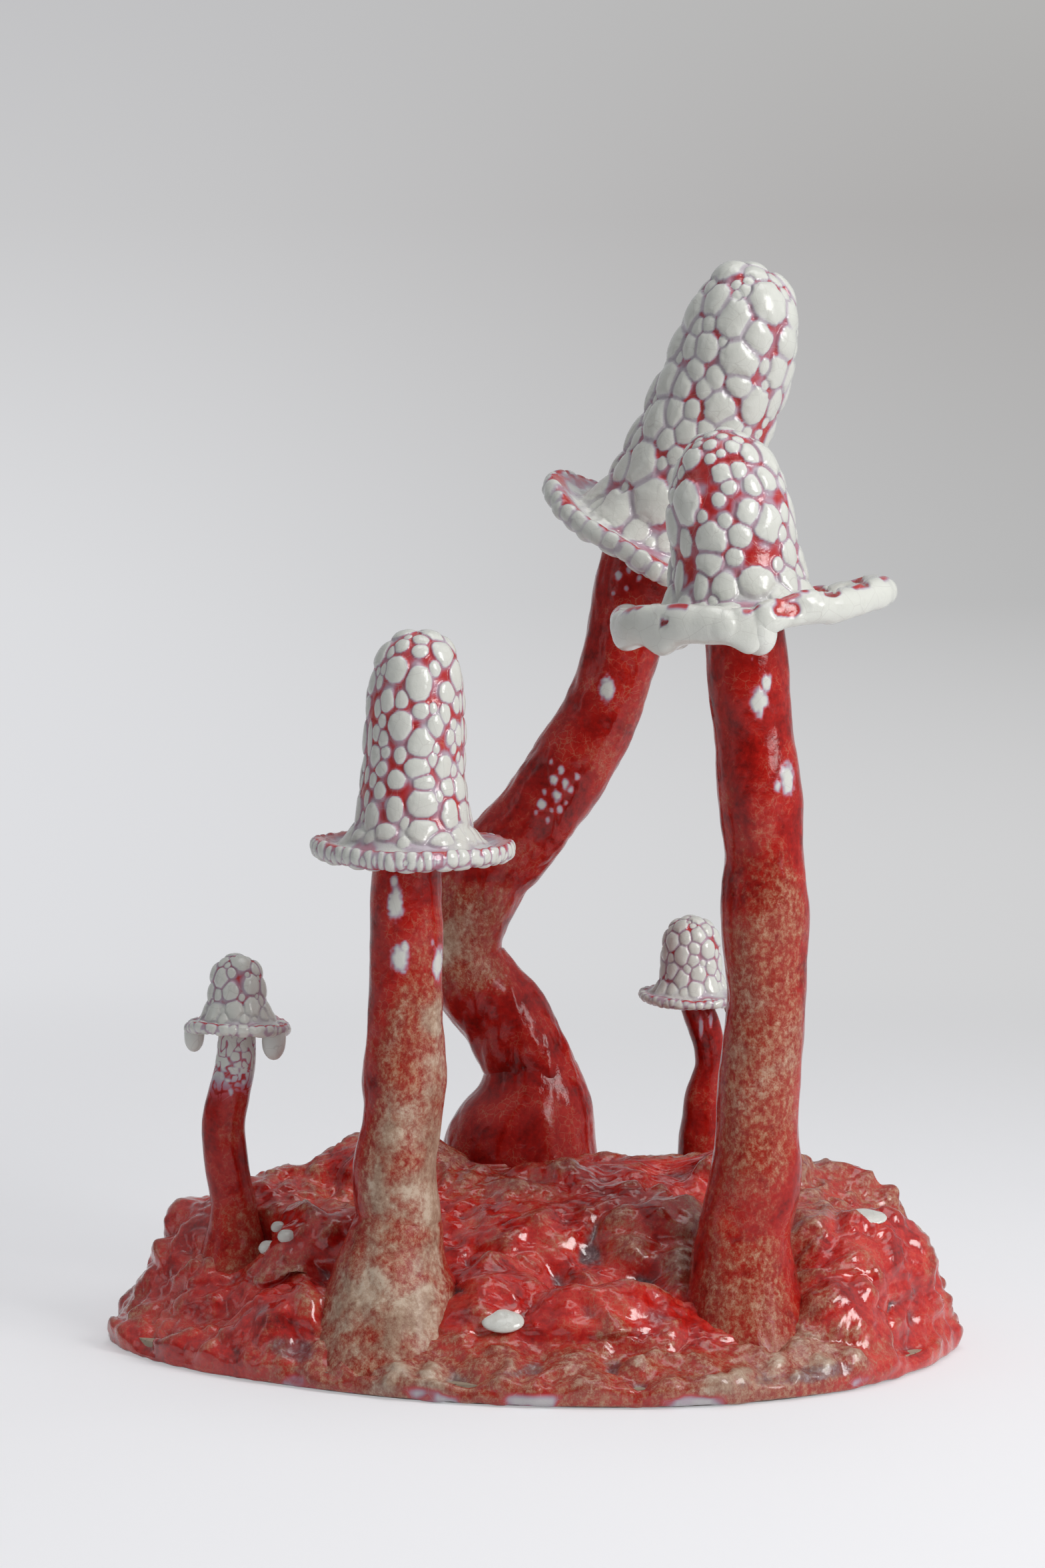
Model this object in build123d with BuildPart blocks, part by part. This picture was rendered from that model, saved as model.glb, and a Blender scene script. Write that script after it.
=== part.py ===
from build123d import *
import math
import os

os.makedirs("parts", exist_ok=True)

# Ceramic mushroom ornament, in millimetres, +Z up, with its front towards -Y.
# The origin is on the table, under the middle of the whole piece.
# Nothing in it moves: every joint is clay pressed to clay and fired.

# Base: a flat oval slab that carries a hollow, craggy mound
base_length = 320.0
base_depth = 230.0
slab_thickness = 7.0
slab_edge_fillet = 1.5
mound_height = 63.0
mound_wall = 11.0
vent_radius = 6.0
vent_x = 42.0

# Four lumps pressed on the mound: a peak and a shoulder at each end
left_peak_x = -60.0
left_peak_y = 14.0
left_peak_length = 66.0
left_peak_depth = 40.0
left_peak_height = 75.0
right_peak_x = 84.0
right_peak_y = 10.0
right_peak_length = 62.0
right_peak_depth = 42.0
right_peak_height = 72.0
left_shoulder_x = -76.0
left_shoulder_y = -20.0
left_shoulder_length = 58.0
left_shoulder_depth = 52.0
left_shoulder_height = 56.0
right_shoulder_x = 110.0
right_shoulder_y = -20.0
right_shoulder_length = 74.0
right_shoulder_depth = 74.0
right_shoulder_height = 53.0

# Tall crooked mushroom at the back: two lengths of stem that meet at an elbow, and a flared foot
tall_x = 0.0
tall_y = 42.0
tall_foot_radius = 29.5
tall_foot_height = 88.0
tall_elbow_height = 146.0
tall_elbow_sway = 29.0
tall_elbow_lean = 14.0
tall_height = 305.0
tall_reach = 46.0
tall_stem_radius = 16.0
tall_root_radius = 17.0
tall_root_height = 88.0
tall_brim_radius = 47.0
tall_brim_thickness = 8.0
tall_bell_length = 114.0
tall_bell_radius = 23.0
tall_lean_right = 25.0
tall_lean_forward = 14.0

# Front right mushroom, with a wide wavy brim
front_right_x = 76.5
front_right_y = -64.0
front_right_foot_radius = 25.0
front_right_foot_height = 61.0
front_right_height = 279.0
front_right_lean = -2.0
front_right_sway = 9.0
front_right_stem_radius = 14.5
front_right_root_radius = 16.0
front_right_root_height = 62.0
front_right_brim_radius = 50.5
front_right_brim_thickness = 8.0
front_right_bell_length = 67.0
front_right_bell_radius = 23.0
front_right_tilt = 5.0

# Front left mushroom, with a long thimble cap
front_left_x = -51.5
front_left_y = -62.0
front_left_foot_radius = 27.0
front_left_foot_height = 57.0
front_left_height = 193.0
front_left_lean = 8.0
front_left_sway = 8.0
front_left_stem_radius = 13.5
front_left_root_radius = 15.0
front_left_root_height = 58.0
front_left_brim_radius = 37.0
front_left_brim_thickness = 7.0
front_left_bell_length = 80.0
front_left_bell_radius = 20.0

# Small mushroom at the left end
small_left_x = -113.0
small_left_y = -15.0
small_left_height = 123.0
small_left_lean = 1.5
small_left_sway = -5.0
small_left_stem_radius = 7.6
small_left_root_radius = 9.6
small_left_root_height = 50.0
small_left_brim_radius = 19.5
small_left_brim_thickness = 4.5
small_left_bell_length = 26.0
small_left_bell_radius = 10.8

# Small mushroom at the back
small_back_x = 68.0
small_back_y = 60.0
small_back_height = 124.0
small_back_lean = -5.0
small_back_sway = 7.0
small_back_stem_radius = 6.6
small_back_root_radius = 9.8
small_back_root_height = 60.0
small_back_brim_radius = 21.0
small_back_brim_thickness = 4.5
small_back_bell_length = 32.0
small_back_bell_radius = 12.4

# Fits: a stem's round neck under the brim, how far it goes up into its cap, the ledge it stops at,
# and the cap's wall and crown
neck_length = 10.0
seat_depth = 10.0
seat_ledge = 2.5
bell_wall = 8.0
crown_thickness = 9.0
crown_fillet = 4.0
small_neck_length = 5.0
small_seat_depth = 5.0
small_seat_ledge = 1.2
small_bell_wall = 4.0
small_crown_thickness = 5.0
small_crown_fillet = 1.8

# Glaze that ran and set: beads under the brims, and drops that fell on the mound
drip_radius = 6.0
drip_length = 15.0
small_drip_radius = 4.6
small_drip_length = 11.0
drop_radius = 7.5
drop_thickness = 4.5
drop_rim_fillet = 1.3

# The slab's plan: degrees round the oval, share of the oval's radius
plan_shares = (
    (0, 1.00), (20, 0.98), (42, 0.95), (66, 0.98), (90, 1.00), (114, 0.98), (138, 0.94), (160, 0.97),
    (180, 1.00), (197, 0.965), (214, 0.92), (234, 0.90), (252, 0.935), (270, 0.985), (290, 1.045),
    (310, 1.045), (330, 1.01), (346, 1.00),
)

# The mound's contours: share of its height above the slab, then centre and half size along X and Y
mound_shares = (
    (0.00, 0.000, 0.000, 0.985, 0.975),
    (0.23, 0.016, 0.043, 0.953, 0.791),
    (0.46, 0.028, 0.096, 0.922, 0.635),
    (0.71, 0.034, 0.130, 0.847, 0.478),
    (0.89, 0.069, 0.130, 0.750, 0.322),
    (1.00, 0.050, 0.122, 0.675, 0.191),
)
hollow_inset_share = 0.5

# A lump's contours: share of its height above the slab, share of its plan
lump_shares = ((0.0, 1.12), (0.50, 1.0), (0.78, 0.88), (0.93, 0.66), (1.0, 0.38))

# Tall upper stem's bend: share of the run up, share of the sway off the straight line
tall_upper_shares = ((0.31, -0.13), (0.54, -0.38), (0.80, -0.27))

# Stems: share of the run up, share of the sway off the straight line, share of the stem's radius
front_right_shares = (
    (0.09, 0.40, 1.08), (0.22, 0.69, 1.01), (0.37, 0.98, 0.97), (0.48, 0.95, 1.06), (0.53, 1.0, 1.12),
    (0.62, 0.96, 0.97), (0.72, 0.78, 1.06), (0.83, 0.51, 0.95), (0.92, 0.25, 1.02),
)
front_left_shares = (
    (0.14, -0.36, 1.13), (0.30, -0.03, 1.02), (0.42, -0.04, 1.08), (0.65, -0.10, 0.96), (0.86, -0.20, 0.93),
)
small_left_shares = ((0.22, 0.60, 1.05), (0.46, 1.0, 1.0), (0.68, 0.56, 1.0), (0.86, 0.10, 0.96))
small_back_shares = ((0.22, 0.15, 1.25), (0.45, 0.55, 1.05), (0.65, 0.98, 0.90), (0.84, 0.70, 0.96))
neck_share = 0.94

# Flared feet: share of the foot's height, share of its radius
tall_foot_shares = ((0.50, 1.0), (0.68, 1.0), (0.80, 0.93), (0.90, 0.83), (0.96, 0.74), (1.0, 0.66))
front_right_foot_shares = ((0.14, 0.96), (0.40, 0.86), (0.60, 0.79), (0.80, 0.74), (1.0, 0.70))
front_left_foot_shares = ((0.14, 1.0), (0.40, 0.95), (0.60, 0.84), (0.80, 0.71), (1.0, 0.62))

# Bells: share of the length up from the brim, share of the bell's radius
thimble_shares = (
    (0.0, 1.42), (0.06, 1.20), (0.14, 1.08), (0.28, 0.99), (0.50, 0.94), (0.70, 0.90), (0.83, 0.80),
    (0.92, 0.64), (1.0, 0.36),
)
dome_shares = (
    (0.0, 1.45), (0.08, 1.16), (0.20, 1.02), (0.40, 1.0), (0.58, 0.94), (0.74, 0.82), (0.88, 0.63),
    (1.0, 0.36),
)

# Brims: share of the thickness up the edge, share of the radius there
brim_edge_shares = ((-0.5, 0.90), (-0.2, 0.98), (0.15, 1.0), (0.5, 0.92))

# Brim outlines, uneven as pinched clay is: degrees, share of the radius
round_brim_shares = (
    (0, 0.99), (30, 0.96), (60, 0.93), (90, 0.95), (120, 0.92), (150, 0.97), (180, 1.0), (210, 0.95),
    (240, 0.94), (270, 0.97), (300, 0.93), (330, 0.98),
)
wide_brim_shares = (
    (0, 1.10), (28, 0.92), (60, 0.78), (90, 0.76), (120, 0.80), (152, 0.88), (180, 0.91), (206, 0.92),
    (236, 0.84), (270, 0.84), (300, 0.80), (332, 0.93),
)

# A hanging bead: share of its length down, share of its radius
bead_top_share = 0.62
bead_side_shares = ((0.30, 0.66), (0.62, 0.98), (0.86, 0.78))

# Where beads hang: degrees round the brim, share of the brim's radius, share of the bead's size
front_right_bead_shares = ((236, 0.76, 0.92), (275, 0.75, 1.0), (196, 0.82, 0.80))
small_left_bead_shares = ((186, 0.82, 0.92), (335, 0.80, 1.12))
small_back_bead_shares = ((330, 0.82, 0.62),)

# Where drops fell: shares of the base's half length and half depth, share of the drop's size
drop_shares = (
    (-0.07, -0.76, 1.0), (0.77, -0.30, 1.05), (-0.62, -0.30, 0.52), (-0.575, -0.35, 0.46),
    (-0.60, -0.24, 0.42),
)


def oval(center_x, center_y, half_x, half_y):
    """Points of the slab's plan, fitted to an oval of this centre and these half sizes."""
    turns = [(math.radians(turn), share) for turn, share in plan_shares]
    return [
        (center_x + half_x * share * math.cos(turn), center_y + half_y * share * math.sin(turn))
        for turn, share in turns
    ]


def contour(level, inset):
    """Points of one of the mound's contours, drawn in by an inset."""
    _, shift_x, shift_y, half_x, half_y = level
    return oval(
        shift_x * base_length / 2, shift_y * base_depth / 2,
        half_x * base_length / 2 - inset, half_y * base_depth / 2 - inset,
    )


def contour_height(level):
    """Height of one of the mound's contours above the table."""
    return slab_thickness + (mound_height - slab_thickness) * level[0]


def brim_outline(radius, shares):
    """Points of a brim's wavy outline."""
    return [
        (radius * share * math.cos(math.radians(turn)), radius * share * math.sin(math.radians(turn)))
        for turn, share in shares
    ]


def rings(foot, top, sway, radius, shares):
    """Planes square to a crooked centreline between foot and top, each with its radius."""
    centers = [foot] + [foot + (top - foot) * along + sway * side for along, side, _ in shares] + [top]
    return [
        (Plane(origin=center, x_dir=(0, 1, 0), z_dir=ahead - behind), radius * girth)
        for behind, center, ahead, (_, _, girth) in zip(centers, centers[1:], centers[2:], shares)
    ]


def hollow(length, radius, wall, seat, mouth, crown, shares):
    """Height and radius of the hollow in a bell, from its stem's top to under its crown."""
    inside = [(length * along, radius * girth - wall) for along, girth in shares]
    above = [(height, reach) for height, reach in inside if seat + wall < height <= length - crown]
    return [(seat, mouth)] + above


# Each cap's plane is the middle of its brim, square to its bell
tall_cap_plane = Plane(
    Location((tall_x + tall_reach, tall_y, tall_height), (tall_lean_forward, tall_lean_right, 0))
)
front_right_cap_plane = Plane(
    Location((front_right_x + front_right_lean, front_right_y, front_right_height), (0, -front_right_tilt, 0))
)
front_left_cap_plane = Plane((front_left_x + front_left_lean, front_left_y, front_left_height))
small_left_cap_plane = Plane((small_left_x + small_left_lean, small_left_y, small_left_height))
small_back_cap_plane = Plane((small_back_x + small_back_lean, small_back_y, small_back_height))

# Tall mushroom's lower stem: a round root stands on the slab, then it leans left up to the elbow
tall_root = Plane((tall_x, tall_y, tall_root_height))
elbow = Vector(tall_x - tall_elbow_sway, tall_y, tall_elbow_height)
elbow_turn = math.radians(tall_elbow_lean)
elbow_plane = Plane(origin=elbow, x_dir=(0, 1, 0), z_dir=(-math.sin(elbow_turn), 0, math.cos(elbow_turn)))

with BuildPart() as tall_lower_stem:
    with BuildSketch(tall_root):
        Circle(tall_root_radius)
    extrude(amount=slab_thickness - tall_root_height)
    with BuildLine() as tall_bend:
        Spline(
            tall_root.origin, (tall_root.origin + elbow) / 2, elbow,
            tangents=((0, 0, 1), elbow_plane.z_dir),
        )
    with BuildSketch(tall_root):
        Circle(tall_root_radius)
    sweep(path=tall_bend.line)
tall_lower_stem.part.label = "tall_lower_stem"
export_step(tall_lower_stem.part, "parts/tall_lower_stem.step")

# Tall mushroom's upper stem: luted on the elbow, with a round neck that goes up into the cap.
# It bends no tighter than its own radius, or it would fold into itself.
tall_neck = tall_cap_plane.offset(-neck_length)
tall_run = tall_neck.origin - elbow
tall_centers = [
    elbow + tall_run * along + Vector(-tall_elbow_sway, 0, 0) * side for along, side in tall_upper_shares
]

with BuildPart() as tall_upper_stem:
    with BuildLine() as tall_rise:
        Spline(elbow, *tall_centers, tall_neck.origin, tangents=(elbow_plane.z_dir, tall_neck.z_dir))
    with BuildSketch(elbow_plane):
        Circle(tall_stem_radius)
    sweep(path=tall_rise.line)
    with BuildSketch(tall_neck):
        Circle(tall_stem_radius * neck_share)
    extrude(amount=neck_length + seat_depth)
tall_upper_stem.part.label = "tall_upper_stem"
export_step(tall_upper_stem.part, "parts/tall_upper_stem.step")

# Front right stem: a round root, a crooked run and a round neck
front_right_root = Plane((front_right_x, front_right_y, front_right_root_height))
front_right_neck = front_right_cap_plane.offset(-neck_length)

with BuildPart() as front_right_stem:
    with BuildSketch(front_right_root):
        Circle(front_right_root_radius)
    extrude(amount=slab_thickness - front_right_root_height)
    with BuildSketch(front_right_root):
        Circle(front_right_root_radius)
    for plane, radius in rings(
        front_right_root.origin, front_right_neck.origin, Vector(front_right_sway, 0, 0),
        front_right_stem_radius, front_right_shares,
    ):
        with BuildSketch(plane):
            Circle(radius)
    with BuildSketch(front_right_neck):
        Circle(front_right_stem_radius * neck_share)
    loft()
    with BuildSketch(front_right_neck):
        Circle(front_right_stem_radius * neck_share)
    extrude(amount=neck_length + seat_depth)
front_right_stem.part.label = "front_right_stem"
export_step(front_right_stem.part, "parts/front_right_stem.step")

# Front left stem
front_left_root = Plane((front_left_x, front_left_y, front_left_root_height))
front_left_neck = front_left_cap_plane.offset(-neck_length)

with BuildPart() as front_left_stem:
    with BuildSketch(front_left_root):
        Circle(front_left_root_radius)
    extrude(amount=slab_thickness - front_left_root_height)
    with BuildSketch(front_left_root):
        Circle(front_left_root_radius)
    for plane, radius in rings(
        front_left_root.origin, front_left_neck.origin, Vector(front_left_sway, 0, 0),
        front_left_stem_radius, front_left_shares,
    ):
        with BuildSketch(plane):
            Circle(radius)
    with BuildSketch(front_left_neck):
        Circle(front_left_stem_radius * neck_share)
    loft()
    with BuildSketch(front_left_neck):
        Circle(front_left_stem_radius * neck_share)
    extrude(amount=neck_length + seat_depth)
front_left_stem.part.label = "front_left_stem"
export_step(front_left_stem.part, "parts/front_left_stem.step")

# Small left stem
small_left_root = Plane((small_left_x, small_left_y, small_left_root_height))
small_left_neck = small_left_cap_plane.offset(-small_neck_length)

with BuildPart() as small_left_stem:
    with BuildSketch(small_left_root):
        Circle(small_left_root_radius)
    extrude(amount=slab_thickness - small_left_root_height)
    with BuildSketch(small_left_root):
        Circle(small_left_root_radius)
    for plane, radius in rings(
        small_left_root.origin, small_left_neck.origin, Vector(small_left_sway, 0, 0),
        small_left_stem_radius, small_left_shares,
    ):
        with BuildSketch(plane):
            Circle(radius)
    with BuildSketch(small_left_neck):
        Circle(small_left_stem_radius * neck_share)
    loft()
    with BuildSketch(small_left_neck):
        Circle(small_left_stem_radius * neck_share)
    extrude(amount=small_neck_length + small_seat_depth)
small_left_stem.part.label = "small_left_stem"
export_step(small_left_stem.part, "parts/small_left_stem.step")

# Small back stem
small_back_root = Plane((small_back_x, small_back_y, small_back_root_height))
small_back_neck = small_back_cap_plane.offset(-small_neck_length)

with BuildPart() as small_back_stem:
    with BuildSketch(small_back_root):
        Circle(small_back_root_radius)
    extrude(amount=slab_thickness - small_back_root_height)
    with BuildSketch(small_back_root):
        Circle(small_back_root_radius)
    for plane, radius in rings(
        small_back_root.origin, small_back_neck.origin, Vector(small_back_sway, 0, 0),
        small_back_stem_radius, small_back_shares,
    ):
        with BuildSketch(plane):
            Circle(radius)
    with BuildSketch(small_back_neck):
        Circle(small_back_stem_radius * neck_share)
    loft()
    with BuildSketch(small_back_neck):
        Circle(small_back_stem_radius * neck_share)
    extrude(amount=small_neck_length + small_seat_depth)
small_back_stem.part.label = "small_back_stem"
export_step(small_back_stem.part, "parts/small_back_stem.step")

# Base slab: the flat underside that the piece rests on, with a hole that lets the hollow mound breathe
# in the kiln
with BuildPart() as base_slab:
    with BuildSketch():
        with BuildLine():
            Spline(*oval(0, 0, base_length / 2, base_depth / 2), periodic=True)
        make_face()
    extrude(amount=slab_thickness)
    fillet(base_slab.edges().group_by(Axis.Z)[0], radius=slab_edge_fillet)
    with Locations((vent_x, 0, slab_thickness)):
        Hole(radius=vent_radius)
base_slab.part.label = "base_slab"
export_step(base_slab.part, "parts/base_slab.step")

# The mound's outer form: contours that rise to a ridge, and four lumps pressed on it
lumps = (
    (left_peak_x, left_peak_y, left_peak_length, left_peak_depth, left_peak_height),
    (right_peak_x, right_peak_y, right_peak_length, right_peak_depth, right_peak_height),
    (left_shoulder_x, left_shoulder_y, left_shoulder_length, left_shoulder_depth, left_shoulder_height),
    (right_shoulder_x, right_shoulder_y, right_shoulder_length, right_shoulder_depth, right_shoulder_height),
)

with BuildPart() as mound_form:
    for level in mound_shares:
        with BuildSketch(Plane.XY.offset(contour_height(level))):
            with BuildLine():
                Spline(*contour(level, 0), periodic=True)
            make_face()
    loft(ruled=True)
    for lump_x, lump_y, lump_length, lump_depth, lump_height in lumps:
        for rise, spread in lump_shares:
            height = slab_thickness + (lump_height - slab_thickness) * rise
            with BuildSketch(Plane((lump_x, lump_y, height))):
                Ellipse(lump_length / 2 * spread, lump_depth / 2 * spread)
        loft()

# Mound shell: the form, hollowed from below and pierced by the stems that stand on the slab
with BuildPart() as mound_shell:
    add(mound_form.part)
    with BuildSketch(Plane.XY.offset(slab_thickness)):
        with BuildLine():
            Spline(*contour(mound_shares[1], mound_wall * hollow_inset_share), periodic=True)
        make_face()
    for level in mound_shares[2:]:
        with BuildSketch(Plane.XY.offset(contour_height(level) - mound_wall)):
            with BuildLine():
                Spline(*contour(level, mound_wall * hollow_inset_share), periodic=True)
            make_face()
    loft(ruled=True, mode=Mode.SUBTRACT)
    for root, radius in (
        (tall_root, tall_root_radius), (front_right_root, front_right_root_radius),
        (front_left_root, front_left_root_radius), (small_left_root, small_left_root_radius),
        (small_back_root, small_back_root_radius),
    ):
        with BuildSketch(root):
            Circle(radius)
        extrude(amount=slab_thickness - root.origin.Z, mode=Mode.SUBTRACT)
mound_shell.part.label = "mound_shell"
export_step(mound_shell.part, "parts/mound_shell.step")

# Tall foot: a flared collar of clay round the stem, down to the mound
with BuildPart() as tall_foot:
    for rise, spread in tall_foot_shares:
        with BuildSketch(Plane((tall_x, tall_y, tall_foot_height * rise))):
            Circle(tall_foot_radius * spread)
    loft()
    with BuildSketch(tall_root):
        Circle(tall_root_radius)
    extrude(amount=slab_thickness - tall_root_height, mode=Mode.SUBTRACT)
    add(mound_form.part, mode=Mode.SUBTRACT)
tall_foot.part.label = "tall_foot"
export_step(tall_foot.part, "parts/tall_foot.step")

# Front right foot
with BuildPart() as front_right_foot:
    for rise, spread in front_right_foot_shares:
        with BuildSketch(Plane((front_right_x, front_right_y, front_right_foot_height * rise))):
            Circle(front_right_foot_radius * spread)
    loft()
    with BuildSketch(front_right_root):
        Circle(front_right_root_radius)
    extrude(amount=slab_thickness - front_right_root_height, mode=Mode.SUBTRACT)
    add(mound_form.part, mode=Mode.SUBTRACT)
    add(base_slab.part, mode=Mode.SUBTRACT)
front_right_foot.part.label = "front_right_foot"
export_step(front_right_foot.part, "parts/front_right_foot.step")

# Front left foot
with BuildPart() as front_left_foot:
    for rise, spread in front_left_foot_shares:
        with BuildSketch(Plane((front_left_x, front_left_y, front_left_foot_height * rise))):
            Circle(front_left_foot_radius * spread)
    loft()
    with BuildSketch(front_left_root):
        Circle(front_left_root_radius)
    extrude(amount=slab_thickness - front_left_root_height, mode=Mode.SUBTRACT)
    add(mound_form.part, mode=Mode.SUBTRACT)
    add(base_slab.part, mode=Mode.SUBTRACT)
front_left_foot.part.label = "front_left_foot"
export_step(front_left_foot.part, "parts/front_left_foot.step")

# Tall cap: a long thimble bell, pinched hollow, with a thick brim
with BuildPart() as tall_cap:
    for rise, spread in brim_edge_shares:
        with BuildSketch(tall_cap_plane.offset(tall_brim_thickness * rise)):
            with BuildLine():
                Spline(*brim_outline(tall_brim_radius * spread, round_brim_shares), periodic=True)
            make_face()
    loft()
    for rise, spread in thimble_shares:
        with BuildSketch(tall_cap_plane.offset(tall_bell_length * rise)):
            Circle(tall_bell_radius * spread)
    loft()
    tall_crown = tall_cap.faces().sort_by(Axis(tall_cap_plane.origin, tall_cap_plane.z_dir))[-1]
    fillet(tall_crown.edges(), radius=crown_fillet)
    for height, radius in hollow(
        tall_bell_length, tall_bell_radius, bell_wall, seat_depth,
        tall_stem_radius * neck_share - seat_ledge, crown_thickness, thimble_shares,
    ):
        with BuildSketch(tall_cap_plane.offset(height)):
            Circle(radius)
    loft(mode=Mode.SUBTRACT)
    with BuildSketch(tall_neck):
        Circle(tall_stem_radius * neck_share)
    extrude(amount=neck_length + seat_depth, mode=Mode.SUBTRACT)
tall_cap.part.label = "tall_cap"
export_step(tall_cap.part, "parts/tall_cap.step")

# Front right cap: a round dome over a wide brim that turns up at its right end
with BuildPart() as front_right_cap:
    for rise, spread in brim_edge_shares:
        with BuildSketch(front_right_cap_plane.offset(front_right_brim_thickness * rise)):
            with BuildLine():
                Spline(*brim_outline(front_right_brim_radius * spread, wide_brim_shares), periodic=True)
            make_face()
    loft()
    for rise, spread in dome_shares:
        with BuildSketch(front_right_cap_plane.offset(front_right_bell_length * rise)):
            Circle(front_right_bell_radius * spread)
    loft()
    fillet(
        front_right_cap.faces().sort_by(Axis(front_right_cap_plane.origin, front_right_cap_plane.z_dir))[-1].edges(),
        radius=crown_fillet,
    )
    for height, radius in hollow(
        front_right_bell_length, front_right_bell_radius, bell_wall, seat_depth,
        front_right_stem_radius * neck_share - seat_ledge, crown_thickness, dome_shares,
    ):
        with BuildSketch(front_right_cap_plane.offset(height)):
            Circle(radius)
    loft(mode=Mode.SUBTRACT)
    with BuildSketch(front_right_neck):
        Circle(front_right_stem_radius * neck_share)
    extrude(amount=neck_length + seat_depth, mode=Mode.SUBTRACT)
front_right_cap.part.label = "front_right_cap"
export_step(front_right_cap.part, "parts/front_right_cap.step")

# Front left cap
with BuildPart() as front_left_cap:
    for rise, spread in brim_edge_shares:
        with BuildSketch(front_left_cap_plane.offset(front_left_brim_thickness * rise)):
            with BuildLine():
                Spline(*brim_outline(front_left_brim_radius * spread, round_brim_shares), periodic=True)
            make_face()
    loft()
    for rise, spread in thimble_shares:
        with BuildSketch(front_left_cap_plane.offset(front_left_bell_length * rise)):
            Circle(front_left_bell_radius * spread)
    loft()
    fillet(front_left_cap.faces().sort_by(Axis.Z)[-1].edges(), radius=crown_fillet)
    for height, radius in hollow(
        front_left_bell_length, front_left_bell_radius, bell_wall, seat_depth,
        front_left_stem_radius * neck_share - seat_ledge, crown_thickness, thimble_shares,
    ):
        with BuildSketch(front_left_cap_plane.offset(height)):
            Circle(radius)
    loft(mode=Mode.SUBTRACT)
    with BuildSketch(front_left_neck):
        Circle(front_left_stem_radius * neck_share)
    extrude(amount=neck_length + seat_depth, mode=Mode.SUBTRACT)
front_left_cap.part.label = "front_left_cap"
export_step(front_left_cap.part, "parts/front_left_cap.step")

# Small left cap
with BuildPart() as small_left_cap:
    for rise, spread in brim_edge_shares:
        with BuildSketch(small_left_cap_plane.offset(small_left_brim_thickness * rise)):
            with BuildLine():
                Spline(*brim_outline(small_left_brim_radius * spread, round_brim_shares), periodic=True)
            make_face()
    loft()
    for rise, spread in dome_shares:
        with BuildSketch(small_left_cap_plane.offset(small_left_bell_length * rise)):
            Circle(small_left_bell_radius * spread)
    loft()
    fillet(small_left_cap.faces().sort_by(Axis.Z)[-1].edges(), radius=small_crown_fillet)
    for height, radius in hollow(
        small_left_bell_length, small_left_bell_radius, small_bell_wall, small_seat_depth,
        small_left_stem_radius * neck_share - small_seat_ledge, small_crown_thickness, dome_shares,
    ):
        with BuildSketch(small_left_cap_plane.offset(height)):
            Circle(radius)
    loft(mode=Mode.SUBTRACT)
    with BuildSketch(small_left_neck):
        Circle(small_left_stem_radius * neck_share)
    extrude(amount=small_neck_length + small_seat_depth, mode=Mode.SUBTRACT)
small_left_cap.part.label = "small_left_cap"
export_step(small_left_cap.part, "parts/small_left_cap.step")

# Small back cap
with BuildPart() as small_back_cap:
    for rise, spread in brim_edge_shares:
        with BuildSketch(small_back_cap_plane.offset(small_back_brim_thickness * rise)):
            with BuildLine():
                Spline(*brim_outline(small_back_brim_radius * spread, round_brim_shares), periodic=True)
            make_face()
    loft()
    for rise, spread in dome_shares:
        with BuildSketch(small_back_cap_plane.offset(small_back_bell_length * rise)):
            Circle(small_back_bell_radius * spread)
    loft()
    fillet(small_back_cap.faces().sort_by(Axis.Z)[-1].edges(), radius=small_crown_fillet)
    for height, radius in hollow(
        small_back_bell_length, small_back_bell_radius, small_bell_wall, small_seat_depth,
        small_back_stem_radius * neck_share - small_seat_ledge, small_crown_thickness, dome_shares,
    ):
        with BuildSketch(small_back_cap_plane.offset(height)):
            Circle(radius)
    loft(mode=Mode.SUBTRACT)
    with BuildSketch(small_back_neck):
        Circle(small_back_stem_radius * neck_share)
    extrude(amount=small_neck_length + small_seat_depth, mode=Mode.SUBTRACT)
small_back_cap.part.label = "small_back_cap"
export_step(small_back_cap.part, "parts/small_back_cap.step")


def bead_top(cap_plane, brim_radius, turn, spread):
    """The point inside a brim that a bead hangs from."""
    reach = brim_radius * spread
    turned = math.radians(turn)
    return cap_plane.from_local_coords((reach * math.cos(turned), reach * math.sin(turned), 0))


def bead_outline(radius, length):
    """Points down a hanging bead's side, from the edge of its top to its tip."""
    side = [(radius * girth, -length * down) for down, girth in bead_side_shares]
    return [(radius * bead_top_share, 0)] + side + [(0, -length)]


# Beads of glaze under the front right brim
with BuildPart() as front_right_glaze_beads:
    for turn, spread, size in front_right_bead_shares:
        top = bead_top(front_right_cap_plane, front_right_brim_radius, turn, spread)
        radius, length = drip_radius * size, drip_length * size
        with BuildSketch(Plane(origin=top, x_dir=(1, 0, 0), z_dir=(0, -1, 0))):
            with BuildLine():
                Polyline((0, -length), (0, 0), (radius * bead_top_share, 0))
                Spline(*bead_outline(radius, length), tangents=((0, -1), (-1, 0)))
            make_face()
        revolve(axis=Axis(top, (0, 0, 1)))
    add(front_right_cap.part, mode=Mode.SUBTRACT)
front_right_glaze_beads.part.label = "front_right_glaze_beads"
export_step(front_right_glaze_beads.part, "parts/front_right_glaze_beads.step")

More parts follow.
